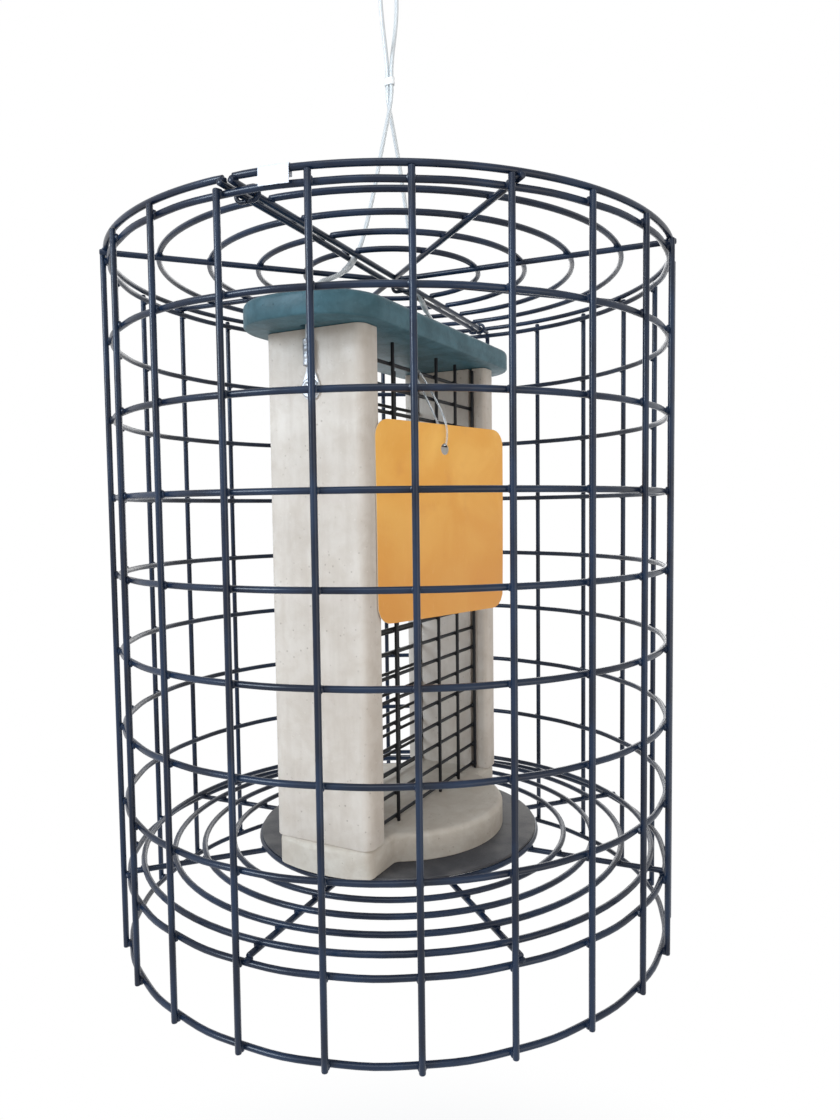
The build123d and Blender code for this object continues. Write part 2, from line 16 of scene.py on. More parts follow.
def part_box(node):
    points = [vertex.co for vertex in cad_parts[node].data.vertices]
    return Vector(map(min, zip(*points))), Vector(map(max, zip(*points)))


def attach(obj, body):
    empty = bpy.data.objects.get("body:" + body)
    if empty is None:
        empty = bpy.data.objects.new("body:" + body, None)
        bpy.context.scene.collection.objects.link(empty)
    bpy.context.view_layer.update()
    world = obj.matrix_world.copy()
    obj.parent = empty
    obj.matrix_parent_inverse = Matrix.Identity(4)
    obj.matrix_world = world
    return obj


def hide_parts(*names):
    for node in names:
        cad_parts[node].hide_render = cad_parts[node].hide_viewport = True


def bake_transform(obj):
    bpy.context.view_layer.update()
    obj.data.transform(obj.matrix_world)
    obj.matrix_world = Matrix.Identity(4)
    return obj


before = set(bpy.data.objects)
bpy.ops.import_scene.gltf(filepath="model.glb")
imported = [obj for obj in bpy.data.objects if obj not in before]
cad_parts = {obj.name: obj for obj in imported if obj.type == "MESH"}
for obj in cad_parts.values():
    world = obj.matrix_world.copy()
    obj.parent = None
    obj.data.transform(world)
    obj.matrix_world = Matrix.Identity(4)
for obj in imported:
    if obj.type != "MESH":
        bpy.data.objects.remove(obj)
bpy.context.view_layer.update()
CAGE, DOOR, ROOF, CARD = "cage_and_feeder", "lid_door", "roof", "card"

# %% [markdown]
# ## Sizes
# Blender works in metres, so every size of the solid model is written in millimetres times MM.
# Levels come from the frame itself where a node's box gives them, so that nothing has to be fitted.

# %% Sizes and levels
MM = 0.001
wire = 3.0 * MM
cage_radius = 152.8 * MM
hoop_radius = cage_radius - wire / 2
upright_radius = cage_radius + wire / 2 + 0.05 * MM
upright_count, hoop_count = 24, 10
cage_turn, lid_turn = radians(2.44), radians(4.0)
low, high = {}, {}
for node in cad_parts:
    low[node], high[node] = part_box(node)
hoop_z = [(low[f"hoop_{k:02d}"].z + high[f"hoop_{k:02d}"].z) / 2 for k in range(1, hoop_count + 1)]
spoke_z = low["door_spokes"].z + wire / 2
lid_ring_sink = 0.8 * MM  # how far the lid's rings are pressed into its spokes
lid_ring_z = low["door_ring_1"].z + wire / 2 - lid_ring_sink
floor_spoke_z = low["floor_spokes"].z + wire / 2
floor_ring_z = low["floor_ring_1"].z + wire / 2
print("hoops from", round(hoop_z[0], 4), "to", round(hoop_z[-1], 4), "floor rings at", round(floor_ring_z, 4))

# %% [markdown]
# ## Camera
# The feeder hangs at eye level and is seen from close by: the eye is half a metre from its middle,
# about a third of the way down the cage, so the lid shows its underside and the floor its top. Such
# a short distance needs a wide lens, or the near hoops would not look larger than the far ones.

# %% Camera
camera_data = bpy.data.cameras.new("camera")
camera_data.sensor_fit = "VERTICAL"
camera_data.sensor_height = 36.0
camera_data.lens = 26.19
camera_data.clip_start = 0.02
camera = bpy.data.objects.new("camera", camera_data)
bpy.context.scene.collection.objects.link(camera)
bpy.context.scene.camera = camera
eye_azimuth = radians(29.47)
eye = Vector((474.9 * sin(eye_azimuth), -474.9 * cos(eye_azimuth), -313.6)) * MM
turn_left, look_down, tilt = radians(-1.69), radians(-3.44), radians(0.675)
camera.matrix_world = (Matrix.Translation(eye) @ Matrix.Rotation(eye_azimuth + turn_left, 4, "Z")
                       @ Matrix.Rotation(look_down, 4, "X") @ Matrix.Rotation(tilt, 4, "Y")
                       @ Matrix.Rotation(pi / 2, 4, "X"))
print("camera at", [round(x, 3) for x in eye], "looks along",
      [round(x, 2) for x in camera.matrix_world.to_3x3() @ Vector((0, 0, -1))])

# %% [markdown]
# ## From arrays to meshes
# A tube, a ring or a bent sheet is a grid of points: one direction runs along the piece, the other
# round it. One helper joins the points of any such grid with quads, and another makes the object
# and turns all its faces outwards if the volume that they close comes out negative.

# %% Grid and mesh helpers
def quads(rows, columns, wrap_rows=False, wrap_columns=False):
    """Corner numbers of a grid's quads: point (i, j) has number i * columns + j, and quad (i, j)
    joins it with (i+1, j), (i+1, j+1) and (i, j+1), counted round where the grid wraps."""
    i, j = np.meshgrid(np.arange(rows - (not wrap_rows)), np.arange(columns - (not wrap_columns)),
                       indexing="ij")
    i, j = i.ravel(), j.ravel()
    far_i, far_j = (i + 1) % rows, (j + 1) % columns
    return np.stack([i * columns + j, far_i * columns + j, far_i * columns + far_j,
                     i * columns + far_j], axis=1)


def volume(points, faces):
    """Signed volume inside the faces: the sum of a . (b x c) / 6 over triangles fanned from each
    face's first corner, measured from the points' middle."""
    centred = points - points.mean(axis=0)
    total = 0.0
    for size in {len(f) for f in faces}:
        loops = np.array([f for f in faces if len(f) == size])
        for k in range(1, size - 1):
            a, b, c = centred[loops[:, 0]], centred[loops[:, k]], centred[loops[:, k + 1]]
            total += (a * np.cross(b, c)).sum() / 6
    return total


def piece(name, points, faces, finish, body=CAGE, sharp=40, uv=None):
    """An object from points (n, 3) and a list of faces, smooth but for edges sharper than sharp
    degrees, with its finish, riding on a body. uv lists a pair of numbers for each face's corners."""
    points = np.asarray(points, float).reshape(-1, 3)
    faces = [list(map(int, face)) for face in faces]
    if volume(points, faces) < 0:
        faces = [face[::-1] for face in faces]
        uv = None if uv is None else [pairs[::-1] for pairs in uv]
    mesh = bpy.data.meshes.new(name)
    mesh.from_pydata(points.tolist(), [], faces)
    mesh.polygons.foreach_set("use_smooth", np.ones(len(faces), bool))
    mesh.set_sharp_from_angle(angle=radians(sharp))
    if uv is not None:
        flat = [number for pairs in uv for pair in pairs for number in pair]
        mesh.uv_layers.new(name="along").data.foreach_set("uv", flat)
    mesh.materials.append(finish)
    mesh.validate()
    obj = bpy.data.objects.new(name, mesh)
    bpy.context.scene.collection.objects.link(obj)
    if body is not None:
        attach(obj, body)
    print(f"{name}: {len(mesh.vertices)} points, {len(mesh.polygons)} faces")
    return obj


def unit(vectors):
    """Each vector divided by its own length."""
    return vectors / np.linalg.norm(vectors, axis=-1, keepdims=True)


def joined(parts):
    """Several (points, faces) pairs as one, each part's corner numbers moved past those before it."""
    points, faces, count = [], [], 0
    for part_points, part_faces in parts:
        part_points = np.asarray(part_points).reshape(-1, 3)
        points.append(part_points)
        faces += [[int(c) + count for c in face] for face in part_faces]
        count += len(part_points)
    return np.concatenate(points), faces


# %% [markdown]
# ## Wires
# Welded wire is round, and where it was cut its coat rounds the corner off. A straight wire is a
# circle carried from one end to the other, with two smaller circles at each end for the cut. All
# wires of one kind are worked out at once, as one array with an axis for the wire's number.

# %% Straight wires
def rods(starts, ends, radius, sides=12, tip=0.8 * MM):
    """Points start + s (end - start) + r(s) (cos f u + sin f v), with u and v across the wire and r
    shrinking to 0.6 of the radius over the last tip of each end."""
    starts, ends = np.atleast_2d(starts), np.atleast_2d(ends)
    length = np.linalg.norm(ends - starts, axis=1)
    axis = unit(ends - starts)
    upright = np.abs(axis[:, 2:]) > 0.9
    u = unit(np.cross(axis, np.where(upright, [[1.0, 0, 0]], [[0, 0, 1.0]])))
    v = np.cross(axis, u)
    inner = np.linspace(0, 1, 7)[1:-1]
    near = np.array([0, 0.35, 1]) * tip
    s = np.concatenate([near / length[:, None], np.repeat(inner[None], len(length), 0),
                        1 - near[::-1] / length[:, None]], axis=1)
    shrink = np.array([0.6, 0.9, 1] + [1] * len(inner) + [1, 0.9, 0.6])
    f = np.arange(sides) * 2 * pi / sides
    middle = starts[:, None] + s[..., None] * (ends - starts)[:, None]
    round_it = (np.cos(f)[None, None, :, None] * u[:, None, None]
                + np.sin(f)[None, None, :, None] * v[:, None, None])
    points = middle[:, :, None] + radius * shrink[None, :, None, None] * round_it
    one = quads(s.shape[1], sides, wrap_columns=True)
    step = s.shape[1] * sides
    caps = [list(range(sides)), list(range(step - 1, step - sides - 1, -1))]
    faces = []
    for k in range(len(length)):
        faces += (one + k * step).tolist() + [[c + k * step for c in cap] for cap in caps]
    return points.reshape(-1, 3), faces


# %% [markdown]
# A bent wire is the same circle carried along a path. Its two directions across the wire come from
# the path's own direction and a fixed vector that the path never follows: the vertical for rings
# that lie level, the X axis for the cable, which stays close to the YZ plane.

# %% Bent wires
def tube(path, radius, across, sides=12, closed=False, tip=0.6 * MM):
    """Points path(s) + r (cos f u + sin f v), with u at right angles to the path and to across, and
    v at right angles to the path and u. An open tube gets two smaller circles at each end.
    Gives points, faces, and for each face's corners its share round and its metres along."""
    path = np.asarray(path, float)
    shrink = np.ones(len(path))
    if not closed and tip:
        first, last = unit(path[1] - path[0]), unit(path[-1] - path[-2])
        path = np.concatenate([[path[0], path[0] + first * tip * 0.4], path[1:-1],
                               [path[-1] - last * tip * 0.4, path[-1]]])
        shrink = np.concatenate([[0.6, 0.92], np.ones(len(path) - 4), [0.92, 0.6]])
    along = np.roll(path, -1, 0) - np.roll(path, 1, 0)
    if not closed:
        along[0], along[-1] = path[1] - path[0], path[-1] - path[-2]
    along = unit(along)
    u = unit(np.cross(along, np.asarray(across, float)))
    v = np.cross(along, u)
    f = np.arange(sides) * 2 * pi / sides
    points = path[:, None] + (radius * shrink)[:, None, None] * (
        np.cos(f)[None, :, None] * u[:, None] + np.sin(f)[None, :, None] * v[:, None])
    faces = quads(len(path), sides, wrap_rows=closed, wrap_columns=True)
    metres = np.concatenate([[0], np.cumsum(np.linalg.norm(np.diff(path, axis=0), axis=1))])
    row, column = faces[:, 0] // sides, faces[:, 0] % sides
    near, far = metres[row], np.where(row + 1 < len(path), metres[(row + 1) % len(path)], metres[-1])
    uv = np.stack([np.stack([column / sides, near], 1), np.stack([column / sides, far], 1),
                   np.stack([(column + 1) / sides, far], 1),
                   np.stack([(column + 1) / sides, near], 1)], axis=1)
    faces, uv = faces.tolist(), uv.tolist()
    if not closed:
        count = len(path) * sides
        faces += [list(range(sides)), list(range(count - 1, count - sides - 1, -1))]
        uv += [[(0.0, 0.0)] * sides] * 2
    return points.reshape(-1, 3), faces, uv


def arc(radius, level, start=0.0, end=2 * pi, count=145, wave=0.0, waves=24, turn=0.0):
    """Points (R sin a, -R cos a, level) for azimuths from start to end, where R is the radius less
    wave cos(waves (a - turn)): a hoop lies a hair further out between its welds."""
    a = np.linspace(start, end, count)
    r = radius - wave * np.cos(waves * (a - turn))
    return np.stack([r * np.sin(a), -r * np.cos(a), np.full_like(a, level)], axis=1)


def at(azimuth, radius, level):
    """Points on circles round the Z axis, azimuths counted from -Y towards +X."""
    azimuth, radius, level = np.broadcast_arrays(azimuth, radius, level)
    return np.stack([radius * np.sin(azimuth), -radius * np.cos(azimuth), level], axis=-1).reshape(-1, 3)


# %% [markdown]
# ## Welds
# Two wires that cross are pressed together until they melt a little into each other, and the
# coat fills the corners round the spot. A small cushion at the crossing, wider than the wires and
# thinner than both, gives that fill. There are hundreds, so each has only a few dozen faces.

# %% Weld cushions
def cushions(centres, first, second, size):
    """Each is an ellipsoid centre + size (1.25 cos b cos a p + 1.25 cos b sin a q + 0.8 sin b n), with
    p and q along the two wires and n from one to the other."""
    centres = np.asarray(centres).reshape(-1, 3)
    p = unit(np.broadcast_to(first, centres.shape))
    n = unit(np.cross(p, np.broadcast_to(second, centres.shape)))
    q = np.cross(n, p)
    a = np.arange(8) * pi / 4
    b = np.radians([-60, -20, 20, 60])
    ring = np.stack([1.25 * np.outer(np.cos(b), np.cos(a)), 1.25 * np.outer(np.cos(b), np.sin(a)),
                     0.8 * np.repeat(np.sin(b)[:, None], 8, 1)], axis=-1).reshape(-1, 3) * size
    axes = np.stack([p, q, n], axis=1)
    points = centres[:, None] + ring[None] @ axes
    one = quads(4, 8, wrap_columns=True).tolist() + [list(range(8)), list(range(31, 23, -1))]
    faces = [[c + 32 * k for c in face] for k in range(len(centres)) for face in one]
    return points.reshape(-1, 3), faces


# %% [markdown]
# ## Slabs
# Boards, washers and the lug are flat shapes with rounded corners, holes and softened edges. The
# outline is a loop of corners, each with its own radius. The wall is the loop carried through a
# few levels, each drawn in by a little near the faces, and the two faces are filled in between the
# outline and the holes.

# %% Outlines and slabs
def outline(corners, radii, steps=9):
    """A closed loop with each corner replaced by an arc: it starts radius * tan(turn / 2) before the
    corner and turns about a centre one radius to the side that the loop turns to."""
    corners, radii = np.asarray(corners, float), np.asarray(radii, float)
    incoming = unit(corners - np.roll(corners, 1, 0))
    outgoing = unit(np.roll(corners, -1, 0) - corners)
    cross = incoming[:, 0] * outgoing[:, 1] - incoming[:, 1] * outgoing[:, 0]
    turn = np.arctan2(cross, (incoming * outgoing).sum(1))
    start = corners - incoming * (radii * np.tan(np.abs(turn) / 2))[:, None]
    side = np.sign(turn)[:, None] * np.stack([-incoming[:, 1], incoming[:, 0]], 1)
    centre = start + side * radii[:, None]
    angle = turn[:, None] * np.linspace(0, 1, steps)[None]
    arm = start - centre
    x = centre[:, :1] + arm[:, :1] * np.cos(angle) - arm[:, 1:] * np.sin(angle)
    y = centre[:, 1:] + arm[:, :1] * np.sin(angle) + arm[:, 1:] * np.cos(angle)
    return np.stack([x, y], axis=-1).reshape(-1, 2)


def circle(radius, middle=(0, 0), count=48):
    """A closed loop of points on a circle."""
    a = np.arange(count) * 2 * pi / count
    return np.stack([middle[0] + radius * np.cos(a), middle[1] + radius * np.sin(a)], axis=1)


def drawn_in(loop, amount):
    """The loop moved sideways by amount, towards its left as it runs, along the mean of the normals
    of the two runs that meet at each point."""
    before, after = unit(loop - np.roll(loop, 1, 0)), unit(np.roll(loop, -1, 0) - loop)
    normal = unit(before + after)
    return loop + amount * np.stack([-normal[:, 1], normal[:, 0]], axis=1)


def slab(loops, profile):
    """loops are the outline, run anticlockwise, and then the holes, run clockwise. profile is pairs
    of (level, how far the wall is drawn into the material there) from the bottom face to the top."""
    points, faces, bottom, top, count = [], [], [], [], 0
    for number, loop in enumerate(loops):
        area = (loop[:, 0] * np.roll(loop[:, 1], -1) - np.roll(loop[:, 0], -1) * loop[:, 1]).sum()
        loop = loop if (area > 0) == (number == 0) else loop[::-1]
        walls = [np.column_stack([drawn_in(loop, inset), np.full(len(loop), level)])
                 for level, inset in profile]
        points.append(np.concatenate(walls))
        faces += (quads(len(profile), len(loop), wrap_columns=True)[:, ::-1] + count).tolist()
        bottom.append((count + np.arange(len(loop)), walls[0]))
        top.append((count + len(loop) * (len(profile) - 1) + np.arange(len(loop)), walls[-1]))
        count += len(loop) * len(profile)
    for rings, flip in ((bottom, True), (top, False)):
        numbers = np.concatenate([r[0] for r in rings])
        fill = tessellate_polygon([[Vector((p[0], p[1], 0)) for p in r[1]] for r in rings])
        for triangle in fill:
            a, b, c = [np.concatenate([r[1] for r in rings])[k] for k in triangle]
            up = (b[0] - a[0]) * (c[1] - a[1]) - (b[1] - a[1]) * (c[0] - a[0]) > 0
            chosen = numbers[list(triangle)].tolist()
            faces.append(chosen if up != flip else chosen[::-1])
    return np.concatenate(points), faces


def edge_profile(bottom, top, low_round, high_round, steps=5):
    """Levels and insets of a wall whose two edges are quarter circles: at an angle t the wall is
    round (1 - sin t) from the level and round (1 - cos t) drawn in."""
    t = np.linspace(0, pi / 2, steps)
    lower = [(bottom + low_round * (1 - s), low_round * (1 - c))
             for s, c in zip(np.sin(t)[::-1], np.cos(t)[::-1])]
    upper = [(top - high_round * (1 - s), high_round * (1 - c)) for s, c in zip(np.sin(t), np.cos(t))]
    return lower + upper


# %% [markdown]
# ## Shader maths
# A finish is a recipe of numbers that vary over the surface: noise, steps between two levels, sums
# and products. Writing them as node calls is long, so a number from a node is wrapped in a small
# class, and + - and * on it add the Math nodes. The method that adds a node of any kind sits in a
# class of its own, because finishes and the sky both need it.

# %% Numbers and finishes
class Num:
    """A number that varies over the surface, held as the socket that gives it."""

    def __init__(self, recipe, socket):
        self.recipe, self.socket = recipe, socket

    def math(self, operation, a, b=0.0):
        return Num(self.recipe, self.recipe.node("ShaderNodeMath", {"operation": operation}, a, b).outputs[0])

    def __add__(self, other): return self.math("ADD", self, other)
    def __radd__(self, other): return self.math("ADD", other, self)
    def __sub__(self, other): return self.math("SUBTRACT", self, other)
    def __rsub__(self, other): return self.math("SUBTRACT", other, self)
    def __mul__(self, other): return self.math("MULTIPLY", self, other)
    def __rmul__(self, other): return self.math("MULTIPLY", other, self)
    def __abs__(self): return self.math("ABSOLUTE", self)

    def wave(self): return self.math("SINE", self)
    def power(self, exponent): return self.math("POWER", self, exponent)
    def or_larger(self, other): return self.math("MAXIMUM", self, other)

    def step(self, start, end, low=0.0, high=1.0):
        """Goes smoothly from low to high as this number goes from start to end."""
        node = self.recipe.node("ShaderNodeMapRange", {"interpolation_type": "SMOOTHSTEP"}, self, start,
                                end, low, high)
        return Num(self.recipe, node.outputs[0])


class Recipe:
    """The nodes of a finish or of the sky."""

    def __init__(self, owner):
        owner.use_nodes = True
        self.tree = owner.node_tree

    def node(self, kind, settings, *inputs, **named):
        """A node of any kind: its settings first, then the values or links of its sockets."""
        node = self.tree.nodes.new(kind)
        for key, value in settings.items():
            setattr(node, key, value)
        for key, value in [*enumerate(inputs), *((k.replace("_", " "), v) for k, v in named.items())]:
            value = value.socket if isinstance(value, Num) else value
            if isinstance(value, bpy.types.NodeSocket):
                self.tree.links.new(value, node.inputs[key])
            else:
                node.inputs[key].default_value = value
        return node


class Finish(Recipe):
    """A material with one shader; constants go straight onto the shader's sockets."""

    def __init__(self, name, **constants):
        self.material = bpy.data.materials.new(name)
        super().__init__(self.material)
        self.shader = self.tree.nodes["Principled BSDF"]
        for socket, value in constants.items():
            self.shader.inputs[socket.replace("_", " ")].default_value = value
        self.place = self.node("ShaderNodeTexCoord", {}).outputs["Object"]

    def noise(self, scale, detail=3.0, roughness=0.5, distortion=0.0, at=None):
        """Soft noise from 0 to 1, with scale in waves for each metre."""
        node = self.node("ShaderNodeTexNoise", {}, Vector=at or self.place, Scale=scale, Detail=detail,
                         Roughness=roughness, Distortion=distortion)
        return Num(self, node.outputs["Fac"])

    def specks(self, scale, size, at=None):
        """1 in small round specks, 0 elsewhere: near the middles of scattered cells."""
        node = self.node("ShaderNodeTexVoronoi", {}, Vector=at or self.place, Scale=scale)
        return Num(self, node.outputs["Distance"]).step(size, size * 0.55)

    def stretched(self, x, y, z):
        """The place with each axis multiplied, so that a pattern is drawn out along the small ones."""
        return self.node("ShaderNodeMapping", {}, Vector=self.place, Scale=(x, y, z)).outputs[0]

    def axis(self, number):
        """One coordinate of the place, in metres."""
        return Num(self, self.node("ShaderNodeSeparateXYZ", {}, self.place).outputs[number])

    def mixed(self, share, first, second):
        """A colour between two, share 0 giving the first."""
        node = self.node("ShaderNodeMix", {"data_type": "RGBA"})
        for socket, value in ((node.inputs[0], share), (node.inputs[6], first), (node.inputs[7], second)):
            value = value.socket if isinstance(value, Num) else value
            if isinstance(value, bpy.types.NodeSocket):
                self.tree.links.new(value, socket)
            else:
                socket.default_value = value
        return node.outputs[2]

    def gives(self, **values):
        """Links varying values to the shader's sockets, and a height in metres to its bump."""
        for socket, value in values.items():
            value = value.socket if isinstance(value, Num) else value
            if socket == "height":
                bump = self.node("ShaderNodeBump", {}, Strength=1.0, Distance=1.0, Height=value)
                self.tree.links.new(bump.outputs[0], self.shader.inputs["Normal"])
            else:
                self.tree.links.new(value, self.shader.inputs[socket.replace("_", " ")])
        return self.material


def colour(*rgb):
    """A colour from 0 to 255 as shown on a screen, made linear as shaders want it."""
    c = np.array(rgb) / 255
    linear = np.where(c <= 0.04045, c / 12.92, ((c + 0.055) / 1.055) ** 2.4)
    return (*linear.tolist(), 1.0)


# %% [markdown]
# ## Coated wire
# The cage is dipped in a blue-black coat, thick enough to run together at the welds. It is glossy
# with a faint orange peel, duller where it was handled, and has a few pale scuffs.

# %% Wire finishes
def coated_wire():
    """Two close blue-blacks mixed by slow noise, scuffs where fine noise is high, soft peel bump."""
    f = Finish("coated_wire", Specular_IOR_Level=0.22, Coat_Roughness=0.12)
    slow, fine, peel = f.noise(35), f.noise(420, 4, 0.65), f.noise(900, 2)
    scuff = fine.step(0.62, 0.75) * f.noise(60).step(0.5, 0.7)
    base = f.mixed(slow.step(0.35, 0.65), colour(13, 24, 42), colour(22, 39, 62))
    base = f.mixed(scuff * 0.4, base, colour(66, 76, 90))
    return f.gives(Base_Color=base, Roughness=0.24 + 0.14 * slow + 0.25 * scuff,
                   Coat_Weight=0.16 - 0.12 * scuff, height=peel * 0.00005 + slow * 0.0002)


def mesh_coat():
    """Near-black satin, a little browner in patches, with a finer peel."""
    f = Finish("mesh_coat", Specular_IOR_Level=0.25)
    slow, peel = f.noise(50), f.noise(1400, 2)
    base = f.mixed(slow.step(0.35, 0.65), colour(17, 18, 22), colour(28, 29, 33))
    return f.gives(Base_Color=base, Roughness=0.36 + 0.2 * slow, height=peel * 0.00004)


def plate_coat():
    """Grey-black powder coat: fine grain in the bump, dust that settles towards the rim."""
    f = Finish("plate_coat")
    grain, slow = f.noise(1100, 3, 0.6), f.noise(45, 4)
    x, y = f.axis(0), f.axis(1)
    out = (x * x + y * y).power(0.5)
    dust = out.step(0.045, 0.082) * slow.step(0.35, 0.7)
    base = f.mixed(slow.step(0.3, 0.7), colour(50, 50, 54), colour(63, 63, 67))
    base = f.mixed(dust * 0.35, base, colour(128, 124, 118))
    return f.gives(Base_Color=base, Roughness=0.5 + 0.25 * grain, height=grain * 0.00012)


wire_coat, black_coat, disc_coat = coated_wire(), mesh_coat(), plate_coat()

# %% [markdown]
# ## Recycled plastic
# The boards are pressed from ground-up bottles and jugs. They look like sandy stone from far off;
# near by they show a soft mottle, drawn-out streaks along the board, specks of the plastic that
# did not melt, and fine lines from the saw on the cut faces.

# %% Plastic finishes
def recycled(name, dark, middle, light, fleck, streaks, rough=0.58):
    """Three close shades mixed by mottle and by noise drawn out along the board, light and dark
    specks, and a bump of grain, pits and slow waves."""
    f = Finish(name, Specular_IOR_Level=0.4)
    mottle, slow = f.noise(95, 5, 0.6, 0.4), f.noise(14, 3)
    drawn, grain = f.noise(1.0, 4, 0.6, at=f.stretched(*streaks)), f.noise(750, 3, 0.6)
    base = f.mixed(mottle.step(0.3, 0.7), middle, light)
    base = f.mixed(drawn.step(0.42, 0.72) * 0.3, base, dark)
    base = f.mixed(slow.step(0.35, 0.75) * 0.3, base, dark)
    pits, crumbs = f.specks(260, 0.16), f.specks(190, 0.12)
    base = f.mixed(crumbs * 0.5, base, light)
    base = f.mixed(pits * f.noise(30).step(0.4, 0.6) * 0.55, base, fleck)
    height = grain * 0.00010 + drawn * 0.00016 - pits * 0.00010 + slow * 0.0005
    return f.gives(Base_Color=base, Roughness=rough + 0.18 * grain - 0.08 * mottle, height=height)


sand_up = recycled("sand_upright", colour(178, 166, 154), colour(196, 186, 175), colour(208, 200, 191),
                   colour(146, 134, 124), (190, 190, 22))
sand_flat = recycled("sand_flat", colour(176, 165, 152), colour(193, 183, 170), colour(206, 199, 188),
                     colour(152, 139, 124), (190, 22, 190))
green_flat = recycled("roof_green", colour(28, 58, 66), colour(42, 78, 88), colour(62, 100, 112),
                      colour(14, 40, 46), (190, 22, 190), rough=0.46)

# %% [markdown]
# ## Metal, cable and plastic film
# The ferrules are pressed aluminium, the washers and screws are zinc on steel. The cable is thin
# wire rope in a clear coat: its strands wind round it, so their pattern follows the cable through
# its own two coordinates, the share round it and the metres along it.

# %% Metal finishes
def bare_metal(name, tone, rough, lines):
    """Metal with roughness that varies in patches and fine scratches drawn out along one axis."""
    f = Finish(name, Metallic=1.0)
    patches, fine = f.noise(160, 4), f.noise(1.0, 3, 0.6, at=f.stretched(*lines))
    base = f.mixed(patches.step(0.3, 0.75), tone, colour(120, 122, 126))
    return f.gives(Base_Color=base, Roughness=rough + 0.22 * fine + 0.1 * patches, height=fine * 0.00003)


zinc = bare_metal("zinc", colour(196, 198, 202), 0.24, (1500, 300, 300))
soft_metal = bare_metal("pressed_metal", colour(172, 174, 178), 0.34, (900, 900, 200))


def lug_metal():
    """Bright tin plate, slightly milky, with worn spots that show a duller grey."""
    f = Finish("lug_plate", Metallic=0.75)
    worn, fine = f.noise(300, 4).step(0.5, 0.7), f.noise(1200, 2)
    base = f.mixed(worn * 0.5, colour(214, 217, 222), colour(160, 163, 168))
    return f.gives(Base_Color=base, Roughness=0.3 + 0.2 * fine + 0.15 * worn, height=fine * 0.00002)


def roped(name, tone, painted_groove_shade, strands, lay):
    """Strands wound round the cable: a sine of strands times the share round plus the metres along
    over the lay, raised to rounded ridges, with shade painted as a darker colour into the grooves between
    them."""
    f = Finish(name, Specular_IOR_Level=0.5, Coat_Roughness=0.06)
    along = f.node("ShaderNodeUVMap", {"uv_map": "along"}).outputs[0]
    parts = f.node("ShaderNodeSeparateXYZ", {}, along)
    share, metres = Num(f, parts.outputs[0]), Num(f, parts.outputs[1])
    ridge = abs((share * (strands * pi) + metres * (pi * strands / lay)).wave())
    dust = f.noise(220, 4)
    # The darker colour in the grooves between the strands is painted shade.
    base = f.mixed(ridge.step(0.0, 0.5), painted_groove_shade, tone)
    base = f.mixed(dust.step(0.5, 0.8) * 0.3, base, colour(236, 238, 238))
    return f.gives(Base_Color=base, Metallic=0.25 * ridge, Roughness=0.3 + 0.2 * dust,
                   Coat_Weight=0.9 - 0.3 * dust, height=ridge * 0.00012)


tin, rope = lug_metal(), roped("coated_cable", colour(204, 209, 212), colour(146, 152, 157), 7, 16 * MM)


def milky(name, tone, rough, clear):
    """Soft clear tube or film: mostly milky plastic, a little of the light passes straight through."""
    f = Finish(name, Roughness=rough, Transmission_Weight=clear, IOR=1.46)
    cloud = f.noise(260, 3)
    base = f.mixed(cloud.step(0.35, 0.7), tone, colour(250, 251, 252))
    return f.gives(Base_Color=base, height=cloud * 0.00004)


sleeve_film = milky("sleeve_film", colour(214, 220, 224), 0.25, 0.35)
loop_film = milky("loop_film", colour(232, 240, 246), 0.08, 0.7)
band_film = milky("band_film", colour(222, 226, 228), 0.35, 0.1)

# %% [markdown]
# ## Card and paper
# The card is printed amber on both sides, with a warm blush and a lighter cloud like a watercolour
# ground, and a fine fibre under the ink. It is left without any print of words or signs. Its cut
# edge shows the white board inside. The label is plain coated paper with a soft crease.

# %% Card and paper finishes
def card_stock():
    """Two ambers mixed by broad clouds, deeper towards the lower edge, faint fibre and print grain."""
    f = Finish("card_stock", Coat_Roughness=0.25)
    cloud, grain = f.noise(26, 4, 0.55, 0.6), f.noise(1600, 2)
    fibre = f.noise(1.0, 3, 0.6, at=f.stretched(900, 900, 160))
    down = f.axis(2).step(high["hang_card"].z, low["hang_card"].z)
    base = f.mixed(cloud.step(0.3, 0.72), colour(234, 166, 62), colour(246, 188, 88))
    base = f.mixed(down * 0.65, base, colour(210, 136, 50))
    base = f.mixed(f.noise(60, 3).step(0.56, 0.78) * 0.3, base, colour(214, 140, 60))
    base = f.mixed(fibre.step(0.6, 0.8) * 0.12, base, colour(255, 222, 160))
    return f.gives(Base_Color=base, Roughness=0.38 + 0.15 * grain, Coat_Weight=0.25 + 0.1 * cloud,
                   height=grain * 0.00002 + fibre * 0.00002)


def paper(name, tone):
    """Near-white paper with a fibre bump and faint grey handling marks."""
    f = Finish(name)
    fibre, marks = f.noise(1500, 4, 0.7), f.noise(180, 3)
    base = f.mixed(marks.step(0.5, 0.8) * 0.35, tone, colour(206, 208, 212))
    return f.gives(Base_Color=base, Roughness=0.5 + 0.2 * fibre, height=fibre * 0.00004)


amber = card_stock()
white_paper = paper("label_paper", colour(216, 221, 230))
cut_edge = paper("cut_board", colour(238, 226, 204))
print("finishes:", len(bpy.data.materials))

# %% [markdown]
# ## The cable
# One cable carries everything. Each end is pressed into a ferrule on an end board, goes up through
# a hole in the roof, bends inwards under the lid, slips between the lid's two bars and meets its
# other half at a band. Above the band it opens into the loop that hangs on a hook. A NURBS spline
# gives the line, because wire rope bends in long smooth curves. Its control points are the solid
# cable's own corners, but the two at 57 mm lie about a millimetre further out, under the gap between
# the lid's bars. The spline's points are read back, and a tube with winding strands is put round them.

